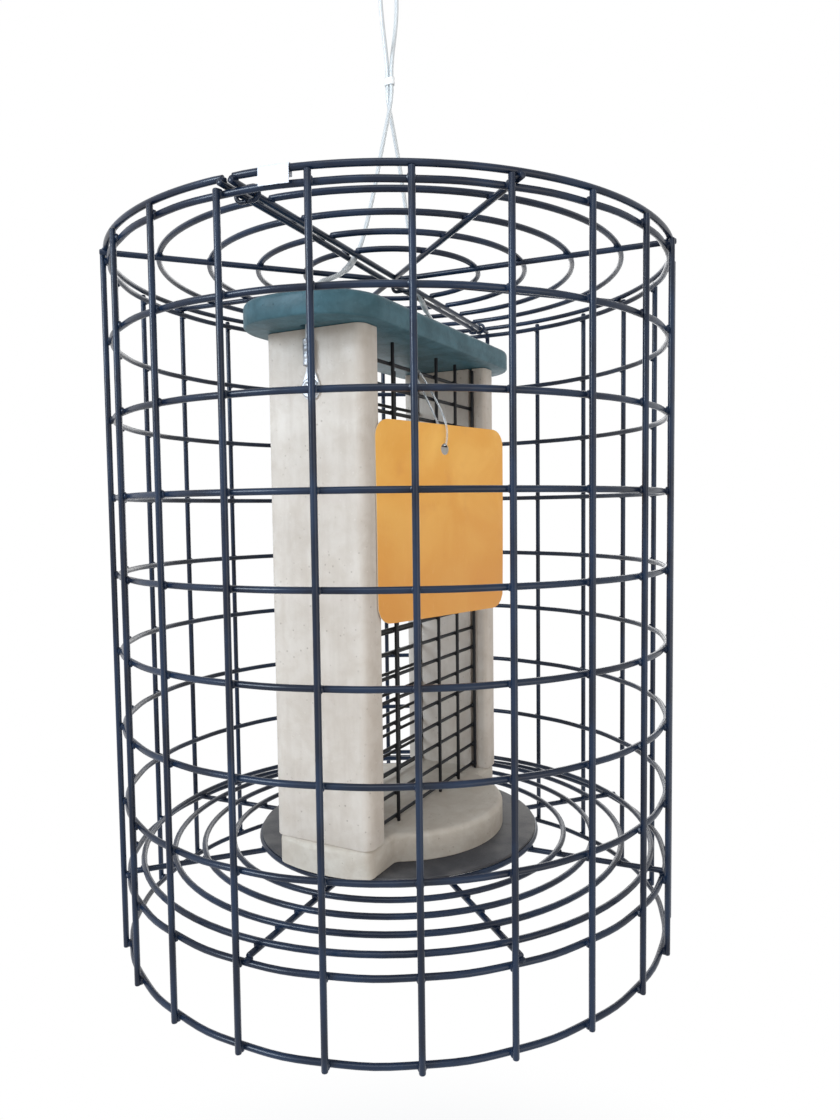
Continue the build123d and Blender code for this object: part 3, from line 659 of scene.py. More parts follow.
# %% The cable's line
cable, strand = 2.4 * MM, 1.25  # strand, like the route, is in millimetres
roof_top = high["roof_board"].z
route = np.array([
    (0, -84, -229.75), (0, -84, -203.95), (3.9, -57, -193.5), (3.1, -39.5, -176), (2.6, -29, -155),
    (2.1, -19, -131), (1.5, -9.5, -106), (strand, 0, -82), (strand, 0, -72), (strand, 0, -62),
    (0.5, 8.5, -34), (0, 9.3, -16), (0, 9.3, 1.2), (0, -9.3, 1.2), (0, -9.3, -16), (-0.5, -8.5, -34),
    (-strand, 0, -62), (-strand, 0, -72), (-strand, 0, -83), (-1.4, 11, -107), (-1.8, 20.5, -134),
    (-2.2, 29, -160), (-2.4, 31.5, -171), (-2.8, 38, -182), (-3.9, 57, -193.5), (0, 84, -203.95),
    (0, 84, -229.75)]) * MM


def nurbs_line(points, resolution=12):
    """Points along a smooth spline of order 3 that starts and ends at the first and last point."""
    curve = bpy.data.curves.new("line", "CURVE")
    curve.dimensions = "3D"
    curve.resolution_u = resolution
    spline = curve.splines.new("NURBS")
    spline.points.add(len(points) - 1)
    spline.points.foreach_set("co", np.column_stack([points, np.ones(len(points))]).ravel())
    spline.order_u = 3
    spline.use_endpoint_u = True
    holder = bpy.data.objects.new("line", curve)
    mesh = bpy.data.meshes.new_from_object(holder)
    line = np.zeros(len(mesh.vertices) * 3)
    mesh.vertices.foreach_get("co", line)
    bpy.data.meshes.remove(mesh)
    bpy.data.curves.remove(curve)
    return line.reshape(-1, 3)


def line_length(line):
    """The sum of the distances between neighbouring points."""
    return float(np.linalg.norm(np.diff(line, axis=0), axis=1).sum())


cable_line = nurbs_line(route)
print("whole cable:", round(line_length(cable_line), 4), "m in", len(cable_line), "points")

# %% [markdown]
# The roof can be lifted a little on the cable. The cable is cut where it leaves the roof: the part
# above the roof is one piece, the two ends inside the roof are another, and neither rides on a
# body.

# %% The cable's pieces
above = cable_line[:, 2] > roof_top - 1 * MM
first_above, last_above = np.flatnonzero(above)[[0, -1]]
free_line = cable_line[first_above:last_above + 1]
tails = [cable_line[:first_above + 1], cable_line[last_above:][::-1]]
points, faces, along = tube(free_line, cable / 2, (1, 0, 0), sides=14, tip=0)
hanging_cable = piece("hanging_cable", points, faces, rope, body=None, uv=along)
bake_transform(hanging_cable)
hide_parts("cable_loop")

tail_parts = [tube(tail, cable / 2, (1, 0, 0), sides=14, tip=0) for tail in tails]
points, faces = joined([part[:2] for part in tail_parts])
cable_tails = piece("cable_tails", points, faces, rope, body=None, uv=tail_parts[0][2] + tail_parts[1][2])
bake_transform(cable_tails)
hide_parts("cable_near", "cable_far")

# %% [markdown]
# Where the cable passes the lid's bars it wears short soft sleeves, and a moulded band with two
# holes side by side keeps its two halves together. The sleeves follow the same line, and the band
# is a slab whose outline is two half circles joined by straight sides.

# %% Sleeves and band
bar_offset = 3.5 * MM
mid = len(free_line) // 2


def between(line, foot, top):
    """The part of a line between two levels."""
    return line[(line[:, 2] >= foot) & (line[:, 2] <= top)]


near_half, far_half = free_line[:mid], free_line[mid:]
sleeves = []
for half, foot, top in ((near_half, -191.5, -181.0), (far_half, -188.8, -183.2)):
    run = between(half, (foot - 0.1) * MM, (top + 0.1) * MM)
    s = np.linspace(0, 1, 9)
    share = np.linspace(0, 1, len(run))
    run = np.stack([np.interp(s, share, run[:, k]) for k in range(3)], axis=1)
    sleeves.append(tube(run, 1.7 * MM, (1, 0, 0), sides=18, tip=0.35 * MM)[:2])
cable_sleeves = piece("soft_sleeves", *joined(sleeves), sleeve_film, body=None)
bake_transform(cable_sleeves)
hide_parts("cable_sleeves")

band_low, band_high = low["cable_band"], high["cable_band"]
width, depth = (band_high.x - band_low.x) / 2, (band_high.y - band_low.y) / 2
band_loop = outline([(-width, -depth), (width, -depth), (width, depth), (-width, depth)], [depth * 0.999] * 4)
holes = [circle(cable / 2 + 0.02 * MM, (x * MM, 0), 24) for x in (-strand - 0.03, strand + 0.03)]
cable_band = piece("cable_band_moulding", *slab([band_loop, *holes], edge_profile(
    band_low.z, band_high.z, 0.5 * MM, 0.5 * MM)), band_film)
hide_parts("cable_band")
print("free cable:", round(line_length(free_line), 4), "m from roof to roof")

# %% [markdown]
# ## The cage
# Twenty-four uprights stand outside ten hoops. The uprights were sheared to length, so their tips
# stand a little above the top hoop, except the two under the lid's bars, which end level with it.

# %% Uprights, hoops and their welds
azimuths = cage_turn + np.arange(upright_count) * 2 * pi / upright_count
tip_rise, foot_drop = 4 * MM, 2 * MM  # how far the uprights pass the top and the bottom hoop
tips = np.full(upright_count, hoop_z[0] + tip_rise)
tips[[0, upright_count // 2]] = hoop_z[0] + wire / 2
upright_foot = hoop_z[-1] - foot_drop
feet, heads = at(azimuths, upright_radius, upright_foot), at(azimuths, upright_radius, tips)
uprights = piece("uprights", *rods(feet, heads, wire / 2, sides=14), wire_coat)
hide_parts("cage_uprights")

hoop_parts = [tube(arc(hoop_radius, z, 0, 2 * pi, 145, 0.25 * MM, 24, cage_turn)[:-1], wire / 2, (0, 0, 1),
                   sides=14, closed=True)[:2] for z in hoop_z]
hoops = piece("hoops", *joined(hoop_parts), wire_coat)
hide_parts(*[f"hoop_{k:02d}" for k in range(1, hoop_count + 1)])

grid_a, grid_z = [g.ravel() for g in np.meshgrid(azimuths, hoop_z)]
tangent = np.stack([np.cos(grid_a), np.sin(grid_a), 0 * grid_a], axis=1)
cage_welds = piece("cage_welds", *cushions(at(grid_a, cage_radius, grid_z), tangent, (0, 0, 1.0), 1.75 * MM),
                   wire_coat)

# %% [markdown]
# ## The lid
# The lid is five rings on eight spokes, cut in two along a double bar. One half is fixed; the
# other is the door, and its bar turns in three wire links that go round both bars. Two of the
# eight spokes are the bars themselves. The door's bar is straight, because it is the hinge. The
# fixed bar comes close to it near both ends and bows away in the middle, where the cable goes
# through, so its path is a straight line plus a smooth step of the distance from the middle.

# %% The lid's bars
lid_radii = np.array([152.8, 127, 101, 75, 49]) * MM
along_bar = np.array([sin(lid_turn), -cos(lid_turn), 0.0])
to_door = np.array([cos(lid_turn), sin(lid_turn), 0.0])
up = np.array([0, 0, 1.0])
bar_reach, spoke_reach = 155.5 * MM, 156.0 * MM


def smooth(x):
    """3 x^2 - 2 x^3 with x kept between 0 and 1: a step that starts and ends level."""
    x = np.clip(x, 0, 1)
    return x * x * (3 - 2 * x)


def fixed_bar_offset(s):
    """How far the fixed bar's middle is from the lid's middle line, away from the door, at a distance
    s along it: bar_offset in the middle, and 2 mm beyond 100 mm."""
    near_ends = 2 * MM
    return bar_offset + (near_ends - bar_offset) * smooth((np.abs(s) - 14 * MM) / (86 * MM))


s = np.linspace(-bar_reach, bar_reach, 61)
bar_paths = {
    "door": s[:, None] * along_bar + to_door * bar_offset + up * spoke_z,
    "fixed": s[:, None] * along_bar - to_door * fixed_bar_offset(s)[:, None] + up * spoke_z}
print("gap between the bars (mm):", [round(float(bar_offset + fixed_bar_offset(x * MM) - wire) / MM, 2)
                                     for x in (0, 50, 150)])

# %% Lid halves
for body, side, prefix, half in ((DOOR, 1, "door", "door"), (CAGE, -1, "lid", "fixed")):
    bar = piece(f"{half}_bar", *tube(bar_paths[half], wire / 2, up, 14, tip=0.8 * MM)[:2], wire_coat, body)
    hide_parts(f"{prefix}_bar")
    turns = lid_turn + side * np.arange(1, 4) * pi / 4
    inner = (bar_offset + wire / 2 - 0.2 * MM) / np.sin(np.arange(1, 4) * pi / 4)
    spoke_parts = rods(at(turns, inner, spoke_z), at(turns, spoke_reach, spoke_z), wire / 2, 14)
    spokes = piece(f"{half}_spokes", *spoke_parts, wire_coat, body)
    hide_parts(f"{prefix}_spokes")
    offset = np.full(5, bar_offset) if side > 0 else fixed_bar_offset(lid_radii)
    end = np.arcsin((offset - 0.5 * MM) / lid_radii)
    rings = [tube(arc(r, lid_ring_z, lid_turn + side * e, lid_turn + side * (pi - e), 97), wire / 2,
                  (0, 0, 1), sides=14)[:2] for r, e in zip(lid_radii, end)]
    rings = piece(f"{half}_rings", *joined(rings), wire_coat, body)
    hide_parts(*[f"{prefix}_ring_{k}" for k in range(1, 6)])
    a, r = [g.ravel() for g in np.meshgrid(turns, lid_radii)]
    on_spokes = at(a, r, spoke_z + wire / 2)
    way = np.stack([np.sin(a), -np.cos(a), 0 * a], axis=1)
    reach = np.sqrt(lid_radii ** 2 - offset ** 2)
    sideways = to_door * side * offset[:, None] + up * (spoke_z + wire / 2)
    on_bars = np.concatenate([sideways + sign * reach[:, None] * along_bar for sign in (-1, 1)])
    bar_way = np.repeat(along_bar[None], len(on_bars), 0)
    level_across = np.cross(np.concatenate([way, bar_way]), up)
    weld_parts = cushions(np.concatenate([on_spokes, on_bars]), np.concatenate([way, bar_way]), level_across,
                          1.7 * MM)
    welds = piece(f"{half}_welds", *weld_parts, wire_coat, body)

# %% [markdown]
# The links are thin wire bent round both bars. Their ends butt together under the bars.

# %% Lid links
link_bend = wire / 2 + 0.35 * MM + 1 * MM
links = []
for place in np.array([-140, 14, 140]) * MM:
    half_gap = (bar_offset + fixed_bar_offset(place)) / 2
    middle = -along_bar * place + to_door * (bar_offset - half_gap) + up * spoke_z
    t = np.linspace(-pi / 2 + 0.12, pi / 2, 15)
    right = np.stack([half_gap + link_bend * np.cos(t), link_bend * np.sin(t)], axis=1)
    left = np.stack([-half_gap - link_bend * np.cos(t[::-1]), link_bend * np.sin(t[::-1])], axis=1)
    foot = np.array([[0.25 * MM, -link_bend]])
    flat = np.concatenate([foot, right, left, foot * (-1, 1)])
    path = middle + flat[:, :1] * to_door + flat[:, 1:] * up
    links.append(tube(path, 1 * MM, along_bar, sides=12, tip=0.2 * MM)[:2])
links = piece("lid_links", *joined(links), wire_coat)
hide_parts("lid_clips")

# %% [markdown]
# ## The cage floor
# Eight closer rings on eight spokes carry a steel plate, and the feeder's base stands on it.
# Four screws come up between the rings through wide washers.

# %% Floor wires
floor_radii = np.arange(144, 31, -16) * MM
floor_azimuths = lid_turn + np.arange(8) * pi / 4
spoke_foot, spoke_end = 30 * MM, 151.5 * MM
floor_spokes = piece("floor_wires", *rods(
    at(floor_azimuths, spoke_foot, floor_spoke_z), at(floor_azimuths, spoke_end, floor_spoke_z),
    wire / 2, 14), wire_coat)
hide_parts("floor_spokes")
ring_parts = [tube(arc(r, floor_ring_z, count=97)[:-1], wire / 2, (0, 0, 1), 14, True)[:2]
              for r in floor_radii]
floor_rings = piece("floor_rings", *joined(ring_parts), wire_coat)
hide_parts(*[f"floor_ring_{k}" for k in range(1, 9)])
a, r = [g.ravel() for g in np.meshgrid(floor_azimuths, floor_radii)]
a, r = np.concatenate([a, floor_azimuths]), np.concatenate([r, np.full(8, hoop_radius)])
level = np.concatenate([np.full(64, floor_spoke_z + wire / 2), np.full(8, floor_spoke_z - wire / 2)])
way = np.stack([np.sin(a), -np.cos(a), 0 * a], axis=1)
floor_welds = piece("floor_welds", *cushions(at(a, r, level), way, np.cross(way, up), 1.7 * MM), wire_coat)

# %% Plate, washers and screws
screw_turn = lid_turn + pi / 8 + np.arange(4) * pi / 2
screw_places = at(screw_turn, 40 * MM, 0)[:, :2]
plate_radius, screw_hole = 80 * MM, 2.05 * MM
plate_loops = [circle(plate_radius, count=144)] + [circle(screw_hole, p, 24) for p in screw_places]
plate_edges = edge_profile(low["floor_plate"].z, high["floor_plate"].z, 0.4 * MM, 0.4 * MM, 4)
plate = piece("round_plate", *slab(plate_loops, plate_edges), disc_coat)
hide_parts("floor_plate")
washer_low, washer_high = low["floor_washers"].z, high["floor_washers"].z
washer_edges = edge_profile(washer_low, washer_high, 0.3 * MM, 0.3 * MM, 3)
washers = piece("wide_washers", *joined([
    slab([circle(11 * MM, p), circle(screw_hole, p, 24)], washer_edges) for p in screw_places]), zinc)
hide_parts("floor_washers")


def screw_head(radius, height, recess, count=48):
    """A pan head on the XY plane: height h (0.35 + 0.65 sqrt(1 - (r / R)^2)) with an edge that falls
    straight, less a cross of two slots that fade out between 0.24 R and 0.64 R."""
    r = np.concatenate([np.linspace(0.02, 0.9, 16), [0.96, 0.99, 1, 1]]) * radius
    a = np.arange(count) * 2 * pi / count
    x, y = r[:, None] * np.cos(a), r[:, None] * np.sin(a)
    rise = height * (0.35 + 0.65 * np.sqrt(np.clip(1 - (r / radius) ** 2, 0, 1)))[:, None]
    rise[-1] = 0
    across = np.minimum(np.abs(x), np.abs(y))
    slot = np.clip(1.5 - across / (0.09 * radius), 0, 1) * np.clip(1.6 - r[:, None] / (0.4 * radius), 0, 1)
    z = rise - recess * slot * (r[:, None] < 0.9 * radius)
    points = np.stack([x, y, z], axis=-1).reshape(-1, 3)
    faces = quads(len(r), count, wrap_columns=True).tolist()
    faces += [list(range(count)), list(range(len(points) - 1, len(points) - count - 1, -1))]
    return points, faces


def placed(part, origin, x, z):
    """A part turned so that its X and Z axes lie along x and z, and moved to origin."""
    points, faces = part
    x, z = np.asarray(x, float), np.asarray(z, float)
    return points @ np.stack([x, np.cross(z, x), z]) + np.asarray(origin), faces


screws = []
for number, (x, y) in enumerate(screw_places):
    turn = 0.7 * number
    head = placed(screw_head(4 * MM, 3 * MM, 1.5 * MM), (x, y, washer_low), (cos(turn), sin(turn), 0),
                  (0, 0, -1))
    shank = rods((x, y, washer_low), (x, y, high["floor_screws"].z), 1.95 * MM, 16)
    screws += [head, shank]
floor_screws = piece("floor_screw_set", *joined(screws), zinc)
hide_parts("floor_screws")

# %% [markdown]
# ## Boards and roof
# The base is a long block with a disc in its middle. The end boards are planks whose outer
# corners are rounded over and whose inner faces have two grooves for the mesh. The roof is a plank
# with large round corners and two holes for the cable.

# %% Base
base_low, base_high = low["base_board"], high["base_board"]
half_x, end_radius, disc = 28 * MM, 84 * MM, 61 * MM


def base_quarter():
    """A quarter of the outline, from the X axis to the Y axis: the disc's arc, a small hollow where it
    meets the straight side, the side, a corner of 6 mm, and the end, which is an arc of end_radius."""
    join = sqrt((disc + 4 * MM) ** 2 - (half_x + 4 * MM) ** 2)
    swing = np.arctan2(join, half_x + 4 * MM)
    a = np.linspace(0, swing, 24)
    round_disc = np.stack([disc * np.cos(a), disc * np.sin(a)], axis=1)
    hollow = np.linspace(swing, 0, 7)[1:]
    hollow = np.stack([half_x + 4 * MM - 4 * MM * np.cos(hollow), join - 4 * MM * np.sin(hollow)], axis=1)
    corner_y = sqrt((end_radius - 6 * MM) ** 2 - (half_x - 6 * MM) ** 2)
    stop = np.arctan2(corner_y, half_x - 6 * MM)
    turn = np.linspace(0, stop, 8)
    corner = np.stack([half_x - 6 * MM + 6 * MM * np.cos(turn), corner_y + 6 * MM * np.sin(turn)], axis=1)
    end = np.linspace(stop, pi / 2, 10)[1:]
    round_end = np.stack([end_radius * np.cos(end), end_radius * np.sin(end)], axis=1)
    return np.concatenate([round_disc, hollow, corner, round_end])


quarter = base_quarter()
base_loop = np.concatenate([quarter, quarter[-2::-1] * (-1, 1), quarter[1:] * (-1, -1),
                            quarter[-2:0:-1] * (1, -1)])
base_edges = edge_profile(base_low.z, base_high.z, 0.6 * MM, 3 * MM, 7)
base = piece("base_plank", *slab([base_loop], base_edges), sand_flat)
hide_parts("base_board")

# %% End boards
board_low, board_high = low["near_board"].z, high["near_board"].z
edge_x, inner, outer = 29, 65, 81  # in millimetres, as are the next seven
outer_y = outer * MM
groove_near, groove_far, groove_end = 17.8, 20.2, 70.5
outer_round, inner_round, mouth_round, root_round = 5.5, 3, 0.5, 0.2
for side, node in ((-1, "near_board"), (1, "far_board")):
    xs = [-edge_x, edge_x, edge_x, groove_far, groove_far, groove_near, groove_near,
          -groove_near, -groove_near, -groove_far, -groove_far, -edge_x]
    ys = [outer, outer, inner, inner, groove_end, groove_end, inner, inner, groove_end, groove_end,
          inner, inner]
    radii = [outer_round, outer_round, inner_round] + [mouth_round, root_round, root_round, mouth_round] * 2
    loop = outline(np.column_stack([xs, np.array(ys) * side]) * MM, np.array(radii + [inner_round]) * MM, 7)
    board_edges = edge_profile(board_low, board_high, 0.5 * MM, 0.5 * MM, 3)
    board = piece(f"{node}_plank", *slab([loop], board_edges), sand_up)
    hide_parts(node)

# %% Roof
roof_low, roof_high = low["roof_board"], high["roof_board"]
roof_x, roof_y, roof_corner = 38, 105.5, 31 * MM
roof_corners = np.array([(-roof_x, -roof_y), (roof_x, -roof_y), (roof_x, roof_y), (-roof_x, roof_y)])
roof_loop = outline(roof_corners * MM, [roof_corner] * 4, 21)
roof_holes = [circle(3 * MM, (0, y * MM), 32) for y in (-84, 84)]
under_edge = [(roof_low.z, 1 * MM), (roof_low.z + 0.25 * MM, 0.62 * MM), (roof_low.z + 1 * MM, 0)]
upper_edge = edge_profile(roof_low.z, roof_high.z, 0.3 * MM, 3 * MM, 7)[7:]
roof = piece("roof_plank", *slab([roof_loop, *roof_holes], under_edge + upper_edge), green_flat, ROOF)
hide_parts("roof_board")

# %% [markdown]
# ## Mesh panels
# The level wires lie inside, with their ends in the grooves, and the uprights are welded to them
# on the outside. The suet stands between the two panels.

# %% Mesh panels
row_z = base_high.z + 3 * MM + np.arange(20) * 12.7 * MM
column_y = (np.arange(6) - 2.5) * 25.4 * MM
column_low, column_high = low["front_mesh_columns"].z, high["front_mesh_columns"].z
row_x, row_end, column_x, weld_x = 19 * MM, 69.5 * MM, 21.05 * MM, 20.02 * MM
for side, name in ((1, "front"), (-1, "rear")):
    ends = np.column_stack([np.full(20, side * row_x), np.full(20, row_end), row_z])
    rows = piece(f"{name}_level_wires", *rods(ends * (1, -1, 1), ends, 1 * MM, 10, 0.4 * MM), black_coat)
    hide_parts(f"{name}_mesh_rows")
    feet = np.column_stack([np.full(6, side * column_x), column_y, np.full(6, column_low)])
    columns = piece(f"{name}_upright_wires", *rods(feet, feet + (0, 0, column_high - column_low), 1 * MM, 10,
                                                   0.4 * MM), black_coat)
    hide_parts(f"{name}_mesh_columns")
    y, z = [g.ravel() for g in np.meshgrid(column_y, row_z)]
    spots = np.column_stack([np.full(len(y), side * weld_x), y, z])
    welds = piece(f"{name}_mesh_welds", *cushions(spots, (0, 1.0, 0), (0, 0, 1.0), 1.15 * MM), black_coat)

# %% [markdown]
# ## Ferrules, lugs and their screws
# Each end of the cable goes into a pressed ferrule whose foot holds a flat lug with an eye. The
# press leaves three bites, so the ferrule's radius is drawn in there from two sides. The lug is a
# slab whose outline narrows to a neck, and a screw with a dished washer holds its eye to the board.

# %% Ferrules
def pressed_ferrule(x, y, foot, top, radius, levels=61, sides=32):
    """Radius R (1 - 0.16 b(z) |sin f|^3), with b(z) three smooth bites, and softened ends."""
    s = np.linspace(0, 1, levels)
    f = np.arange(sides) * 2 * pi / sides
    bites = sum(np.exp(-((s - m) / 0.07) ** 2) for m in (0.22, 0.5, 0.78))
    ends = np.clip(np.minimum(s, 1 - s) / 0.04, 0, 1)
    r = radius * (0.86 + 0.14 * np.sqrt(1 - (1 - ends) ** 2))
    r = r[:, None] * (1 - 0.16 * bites[:, None] * np.abs(np.sin(f)) ** 3)
    z = foot + s * (top - foot)
    points = np.stack([x + r * np.cos(f), y + r * np.sin(f), np.repeat(z[:, None], sides, 1)], axis=-1)
    count = levels * sides
    caps = [list(range(sides)), list(range(count - 1, count - sides - 1, -1))]
    return points.reshape(-1, 3), quads(levels, sides, wrap_columns=True).tolist() + caps


cable_y = 84 * MM
ferrule_low, ferrule_high = low["cable_ferrules"].z, high["cable_ferrules"].z
ferrules = piece("pressed_ferrules", *joined([
    pressed_ferrule(0, side * cable_y, ferrule_low, ferrule_high, 2.5 * MM) for side in (-1, 1)]), soft_metal)
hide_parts("cable_ferrules")

# %% Lugs, washers and screws
lug_z = -253.25 * MM
neck = (ferrule_low - lug_z) / MM
lug_corners = [(-2.25, neck), (-2.25, neck - 1.5), (-4.6, 3.2), (-5.5, -1.6), (-2.6, -5.5),
               (2.6, -5.5), (5.5, -1.6), (4.6, 3.2), (2.25, neck - 1.5), (2.25, neck)]
lug_loop = outline(np.array(lug_corners) * MM, np.array([0.3, 4, 5, 4, 4, 4, 4, 5, 4, 0.3]) * MM, 7)
lug_slab = slab([lug_loop, circle(2.05 * MM, count=24)], edge_profile(0, 1.5 * MM, 0.35 * MM, 0.35 * MM, 4))
lugs, lug_washers, lug_screws = [], [], []
for side in (-1, 1):
    face = (0, side * outer_y, lug_z)
    x, z = (-side, 0, 0), (0, side, 0)
    lugs.append(placed(lug_slab, face, x, z))
    on_lug = (0, side * (outer_y + 1.5 * MM), lug_z)
    dished = [(0, 0.1 * MM), (0.1 * MM, 0), (0.6 * MM, 0), (0.95 * MM, 0.5 * MM), (1 * MM, 0.9 * MM)]
    lug_washers.append(placed(slab([circle(5 * MM), circle(screw_hole, count=24)], dished), on_lug, x, z))
    on_washer = (0, side * (outer_y + 2.5 * MM), lug_z)
    turned = (-side * cos(0.5), 0, sin(0.5))
    lug_screws.append(placed(screw_head(3 * MM, 2.2 * MM, 1.2 * MM), on_washer, turned, z))
    lug_screws.append(rods((0, side * (outer_y - 11 * MM), lug_z), on_washer, 1.95 * MM, 16))
for name, parts, finish, node, slot in (("eye_lugs", lugs, tin, "cable_lugs", "lug"),
                                        ("eye_washers", lug_washers, zinc, "lug_washers", "steel"),
                                        ("eye_screws", lug_screws, zinc, "lug_screws", "steel")):
    made = piece(name, *joined(parts), finish)
    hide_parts(node)
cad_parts["board_screws"].data.materials.clear()
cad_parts["board_screws"].data.materials.append(zinc)

# %% [markdown]
# ## The card
# A square card with round corners hangs in front of the mesh on a loop of clear film. It is a
# sheet with a hole: rings of points go from the hole's rim out to the edge on the front, and back
# on the other side, so it is one closed skin. It bows a little, as card does after a while outside.

# %% Card
card_turn = radians(15)
card_along = np.array([sin(card_turn), cos(card_turn), 0.0])
card_out = np.array([cos(card_turn), -sin(card_turn), 0.0])
card_middle = np.array([42.95, -21.93, -318.8]) * MM
size, card_thick, hole_up = 101.6 * MM, 0.8 * MM, 37.8 * MM
card_rings, ring_points = 22, 192  # rings of points on each side, and points in each of them


def card_skin(rings, count):
    """On each side, point = hole + s^1.4 (edge - hole) for s from 0 to 1 and every direction round,
    lifted off the flat by (1.1 x y - 1.2 x^2 - 0.9 y^2) mm with x and y in card widths. The two
    sides are one thickness apart, a little less at the hole and at the edge."""
    edge = outline(np.array([(-1, -1), (1, -1), (1, 1), (-1, 1)]) * size / 2, [9 * MM] * 4, 9)
    angle = np.arange(count) * 2 * pi / count
    closed = np.concatenate([edge, edge[:1]])
    way = np.concatenate([[0], np.cumsum(np.linalg.norm(np.diff(closed, axis=0), axis=1))])
    s = np.linspace(0, way[-1], 3601)[:-1]
    fine = np.column_stack([np.interp(s, way, closed[:, k]) for k in (0, 1)])
    seen = np.arctan2(fine[:, 1] - hole_up, fine[:, 0]) % (2 * pi)
    order = np.argsort(seen)
    rim = np.column_stack([np.interp(angle, seen[order], fine[order, k], period=2 * pi) for k in (0, 1)])
    hole = circle(3 * MM, (0, hole_up), count)
    share = np.linspace(0, 1, rings) ** 1.4
    flat = hole[None] + share[:, None, None] * (rim - hole)[None]
    half = card_thick / 2
    soft = np.full(rings, half)
    soft[[0, -1]] = half - 0.15 * MM
    x, y = flat[..., 0], flat[..., 1]
    bow = -1.2 * (x / size) ** 2 * MM - 0.9 * (y / size) ** 2 * MM + 1.1 * MM * x * y / size ** 2
    front, back = bow + soft[:, None], bow - soft[:, None]
    x = np.concatenate([x, x[::-1]])
    y = np.concatenate([y, y[::-1]])
    z = np.concatenate([front, back[::-1]])
    points = card_middle + x[..., None] * card_along + y[..., None] * up + z[..., None] * card_out
    return points.reshape(-1, 3), quads(2 * rings, count, wrap_rows=True, wrap_columns=True).tolist()


card = piece("amber_card", *card_skin(card_rings, ring_points), amber, CARD, sharp=60)
card.data.materials.append(cut_edge)
on_edge = np.zeros((2 * card_rings, ring_points), int)  # a row of faces for each ring of points
on_edge[[card_rings - 1, -1]] = 1  # the outer edge, and the rim of the hole
card.data.polygons.foreach_set("material_index", on_edge.ravel())
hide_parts("hang_card")

# %% Clear loop
hold = np.array([19.0, -8.0, -236.55]) * MM
hole = card_middle + up * hole_up
reach = hole - hold
reach[2] = 0
level_reach = np.linalg.norm(reach)
outwards = reach / level_reach
gap, slack, bend = 1.85 * MM, 0.3 * MM, 2.5 * MM
foot = hole[2] - hold[2] + 3 * MM - 0.3 * MM - 0.55 * MM
over = card_middle[2] + size / 2 - hold[2] + bend
corners = np.array([(-gap - slack, -slack), (-gap - slack, gap), (gap + slack, gap),
                    (level_reach + bend, over), (level_reach + bend, foot),
                    (level_reach - bend, foot), (level_reach - bend, over - 2 * bend)])


def round_loop(corners, steps=12):
    """Through the middle of every run: at each corner the curve is (1-t)^2 m + 2 t (1-t) c + t^2 n,
    with c the corner and m and n the middles of the runs before and after it."""
    before, after = (corners + np.roll(corners, 1, 0)) / 2, (corners + np.roll(corners, -1, 0)) / 2
    t = np.linspace(0, 1, steps, endpoint=False)[None, :, None]
    curve = (1 - t) ** 2 * before[:, None] + 2 * t * (1 - t) * corners[:, None] + t ** 2 * after[:, None]
    return curve.reshape(-1, 2)


flat = round_loop(corners)
path = hold + flat[:, :1] * outwards + flat[:, 1:] * up
loop_parts = tube(path, 0.55 * MM, np.cross(outwards, up), sides=10, closed=True)[:2]
clear_loop = piece("clear_loop", *loop_parts, loop_film, CARD)
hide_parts("card_loop")

# %% [markdown]
# ## The paper label
# A label is folded over the outer ring of the door. Seen from its end it is a hook: a short flap
# inside, a half circle over the wire, and a long flap outside that stands off a little.

# %% Label
label_azimuth, label_long = lid_turn + radians(8.2), 13 * MM
t = np.linspace(0, pi, 13)
bend_r = wire / 2 + 0.25 * MM
over_wire = np.stack([-bend_r * np.cos(t), bend_r * np.sin(t)], axis=1)
down = np.linspace(0, 1, 9)[1:]
outer_flap = np.stack([bend_r + 0.10 * MM * down ** 2, -6.4 * MM * down], axis=1)
inner_flap = np.stack([-bend_r - 0.05 * MM * down[:5], -2.9 * MM * down[:5] / down[4]], axis=1)[::-1]
middle_line = np.concatenate([inner_flap, over_wire, outer_flap])
normal = unit(np.gradient(middle_line, axis=0)) @ np.array([[0, -1], [1, 0]])
skin = np.concatenate([middle_line + 0.14 * MM * normal, (middle_line - 0.14 * MM * normal)[::-1]])
ring_radius = 152.8 * MM
across = np.linspace(-0.5, 0.5, 15)[:, None] * label_long
azimuth = label_azimuth + across / ring_radius
crinkle = 0.12 * MM * np.sin(across / MM * 0.9) * np.clip(-skin[None, :, 1] / (10 * MM), 0, 1)
r = ring_radius + skin[None, :, 0] + crinkle
skin_z = np.broadcast_to(lid_ring_z + skin[None, :, 1], r.shape)
points = np.stack([r * np.sin(azimuth), -r * np.cos(azimuth), skin_z], axis=-1).reshape(-1, 3)
count = len(skin)
faces = quads(15, count, wrap_columns=True).tolist()
strip = [[k, k + 1, count - 2 - k, count - 1 - k] for k in range(count // 2 - 1)]
faces += [face[::-1] for face in strip] + [[c + 14 * count for c in face] for face in strip]
label = piece("folded_label", points, faces, white_paper, DOOR, sharp=50)
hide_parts("paper_label")

# %% [markdown]
# ## Floor, sky and lamps
# The feeder hangs above a pale floor. The floor turns into plain white away from the middle, and
# the sky is white for the eye, in reflections and through clear pieces, so there is no horizon. As
# a light it is half as strong. The lamps are large and soft: a bluish one from the left in front, a
# weaker warm one from the right, one behind and one from above.

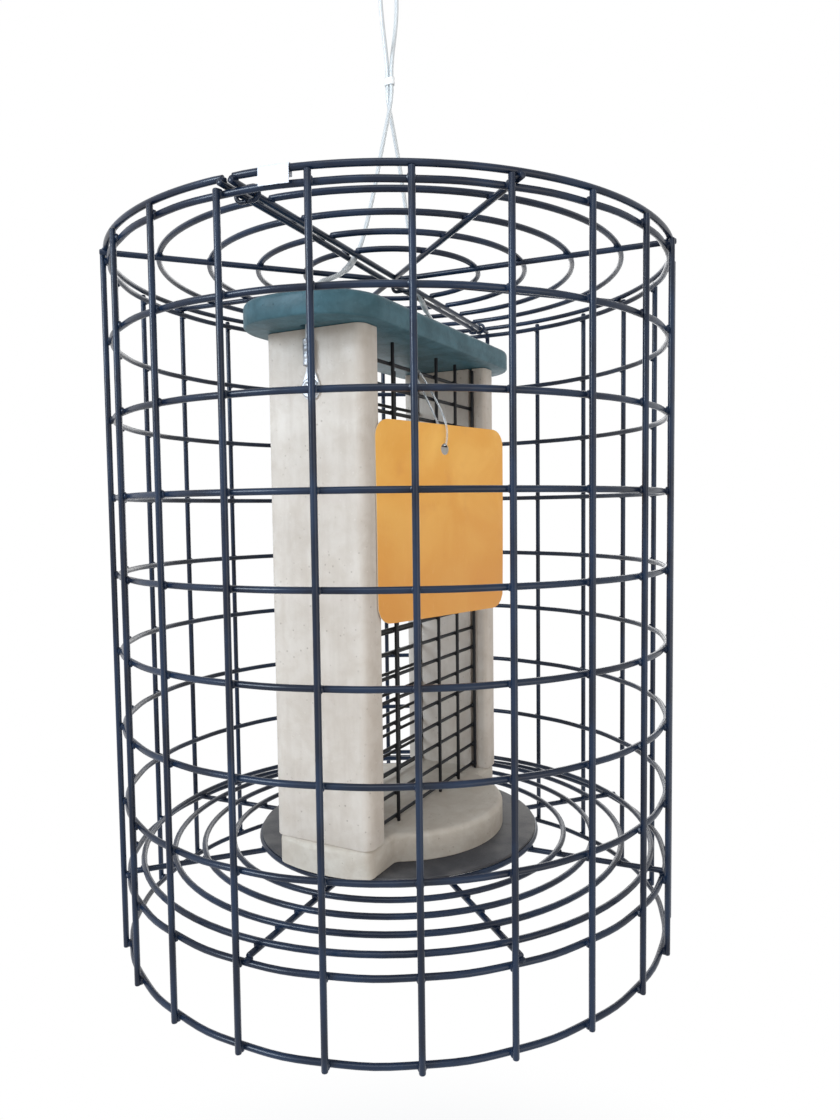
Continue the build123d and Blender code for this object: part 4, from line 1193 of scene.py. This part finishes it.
# %% Floor and sky
def pale_floor():
    """White that takes shadows in the middle, and shines as plain white further out."""
    f = Finish("pale_floor", Roughness=0.9)
    x, y = f.axis(0), f.axis(1)
    out = (x * x + y * y).power(0.5)
    base = f.mixed(f.noise(3).step(0.3, 0.7) * 0.3, (0.93, 0.93, 0.93, 1), (0.96, 0.96, 0.96, 1))
    f.gives(Base_Color=base)
    glow = f.node("ShaderNodeEmission", {}, Color=(1, 1, 1, 1), Strength=1.0)
    blend = f.node("ShaderNodeMixShader", {}, out.step(0.3, 0.75))
    f.tree.links.new(f.shader.outputs[0], blend.inputs[1])
    f.tree.links.new(glow.outputs[0], blend.inputs[2])
    f.tree.links.new(blend.outputs[0], f.tree.nodes["Material Output"].inputs[0])
    return f.material


floor_level, floor_reach, floor_rings_out, floor_sides = -1.15, 6, 40, 64
r = np.linspace(0.02, floor_reach, floor_rings_out)
f = np.arange(floor_sides) * 2 * pi / floor_sides
disc_points = np.stack([np.outer(r, np.cos(f)), np.outer(r, np.sin(f)),
                        np.full((len(r), len(f)), floor_level)], axis=-1).reshape(-1, 3)
disc_faces = quads(len(r), len(f), wrap_columns=True)[:, ::-1].tolist() + [list(range(len(f)))]
floor = piece("floor", disc_points, disc_faces, pale_floor(), None)

world = bpy.data.worlds.new("sky")
bpy.context.scene.world = world
sky = Recipe(world)
rays = sky.node("ShaderNodeLightPath", {}).outputs
seen, mirrored, through = [
    Num(sky, rays[name]) for name in ("Is Camera Ray", "Is Glossy Ray", "Is Transmission Ray")]
strength = 0.5 + 0.5 * seen.or_larger(mirrored).or_larger(through)
background = sky.tree.nodes["Background"]
background.inputs["Color"].default_value = (1, 1, 1, 1)
sky.tree.links.new(strength.socket, background.inputs["Strength"])


# %% Lamps
def lamp(name, azimuth, height, distance, size, power, tint=(1, 1, 1)):
    """A square soft lamp at this azimuth and height, turned towards the feeder's middle."""
    data = bpy.data.lights.new(name, "AREA")
    data.size, data.energy, data.color = size, power, tint
    obj = bpy.data.objects.new(name, data)
    bpy.context.scene.collection.objects.link(obj)
    a = radians(azimuth)
    target = Vector((0, 0, -0.36))
    obj.location = Vector((distance * sin(a), -distance * cos(a), height))
    obj.rotation_euler = (target - obj.location).to_track_quat("-Z", "Y").to_euler()
    return obj


lamp("left_window", -25, 0.2, 1.5, 0.6, 17, (0.86, 1.0, 1.14))
lamp("right_fill", 68, -0.5, 1.7, 1.2, 7.2, (1.0, 0.94, 0.86))
lamp("back_fill", 200, 0.1, 1.7, 1.2, 8)
lamp("top_soft", 20, 1.1, 1.4, 1.0, 9, (0.9, 0.98, 1.04))
bpy.context.scene.view_settings.view_transform = "Standard"
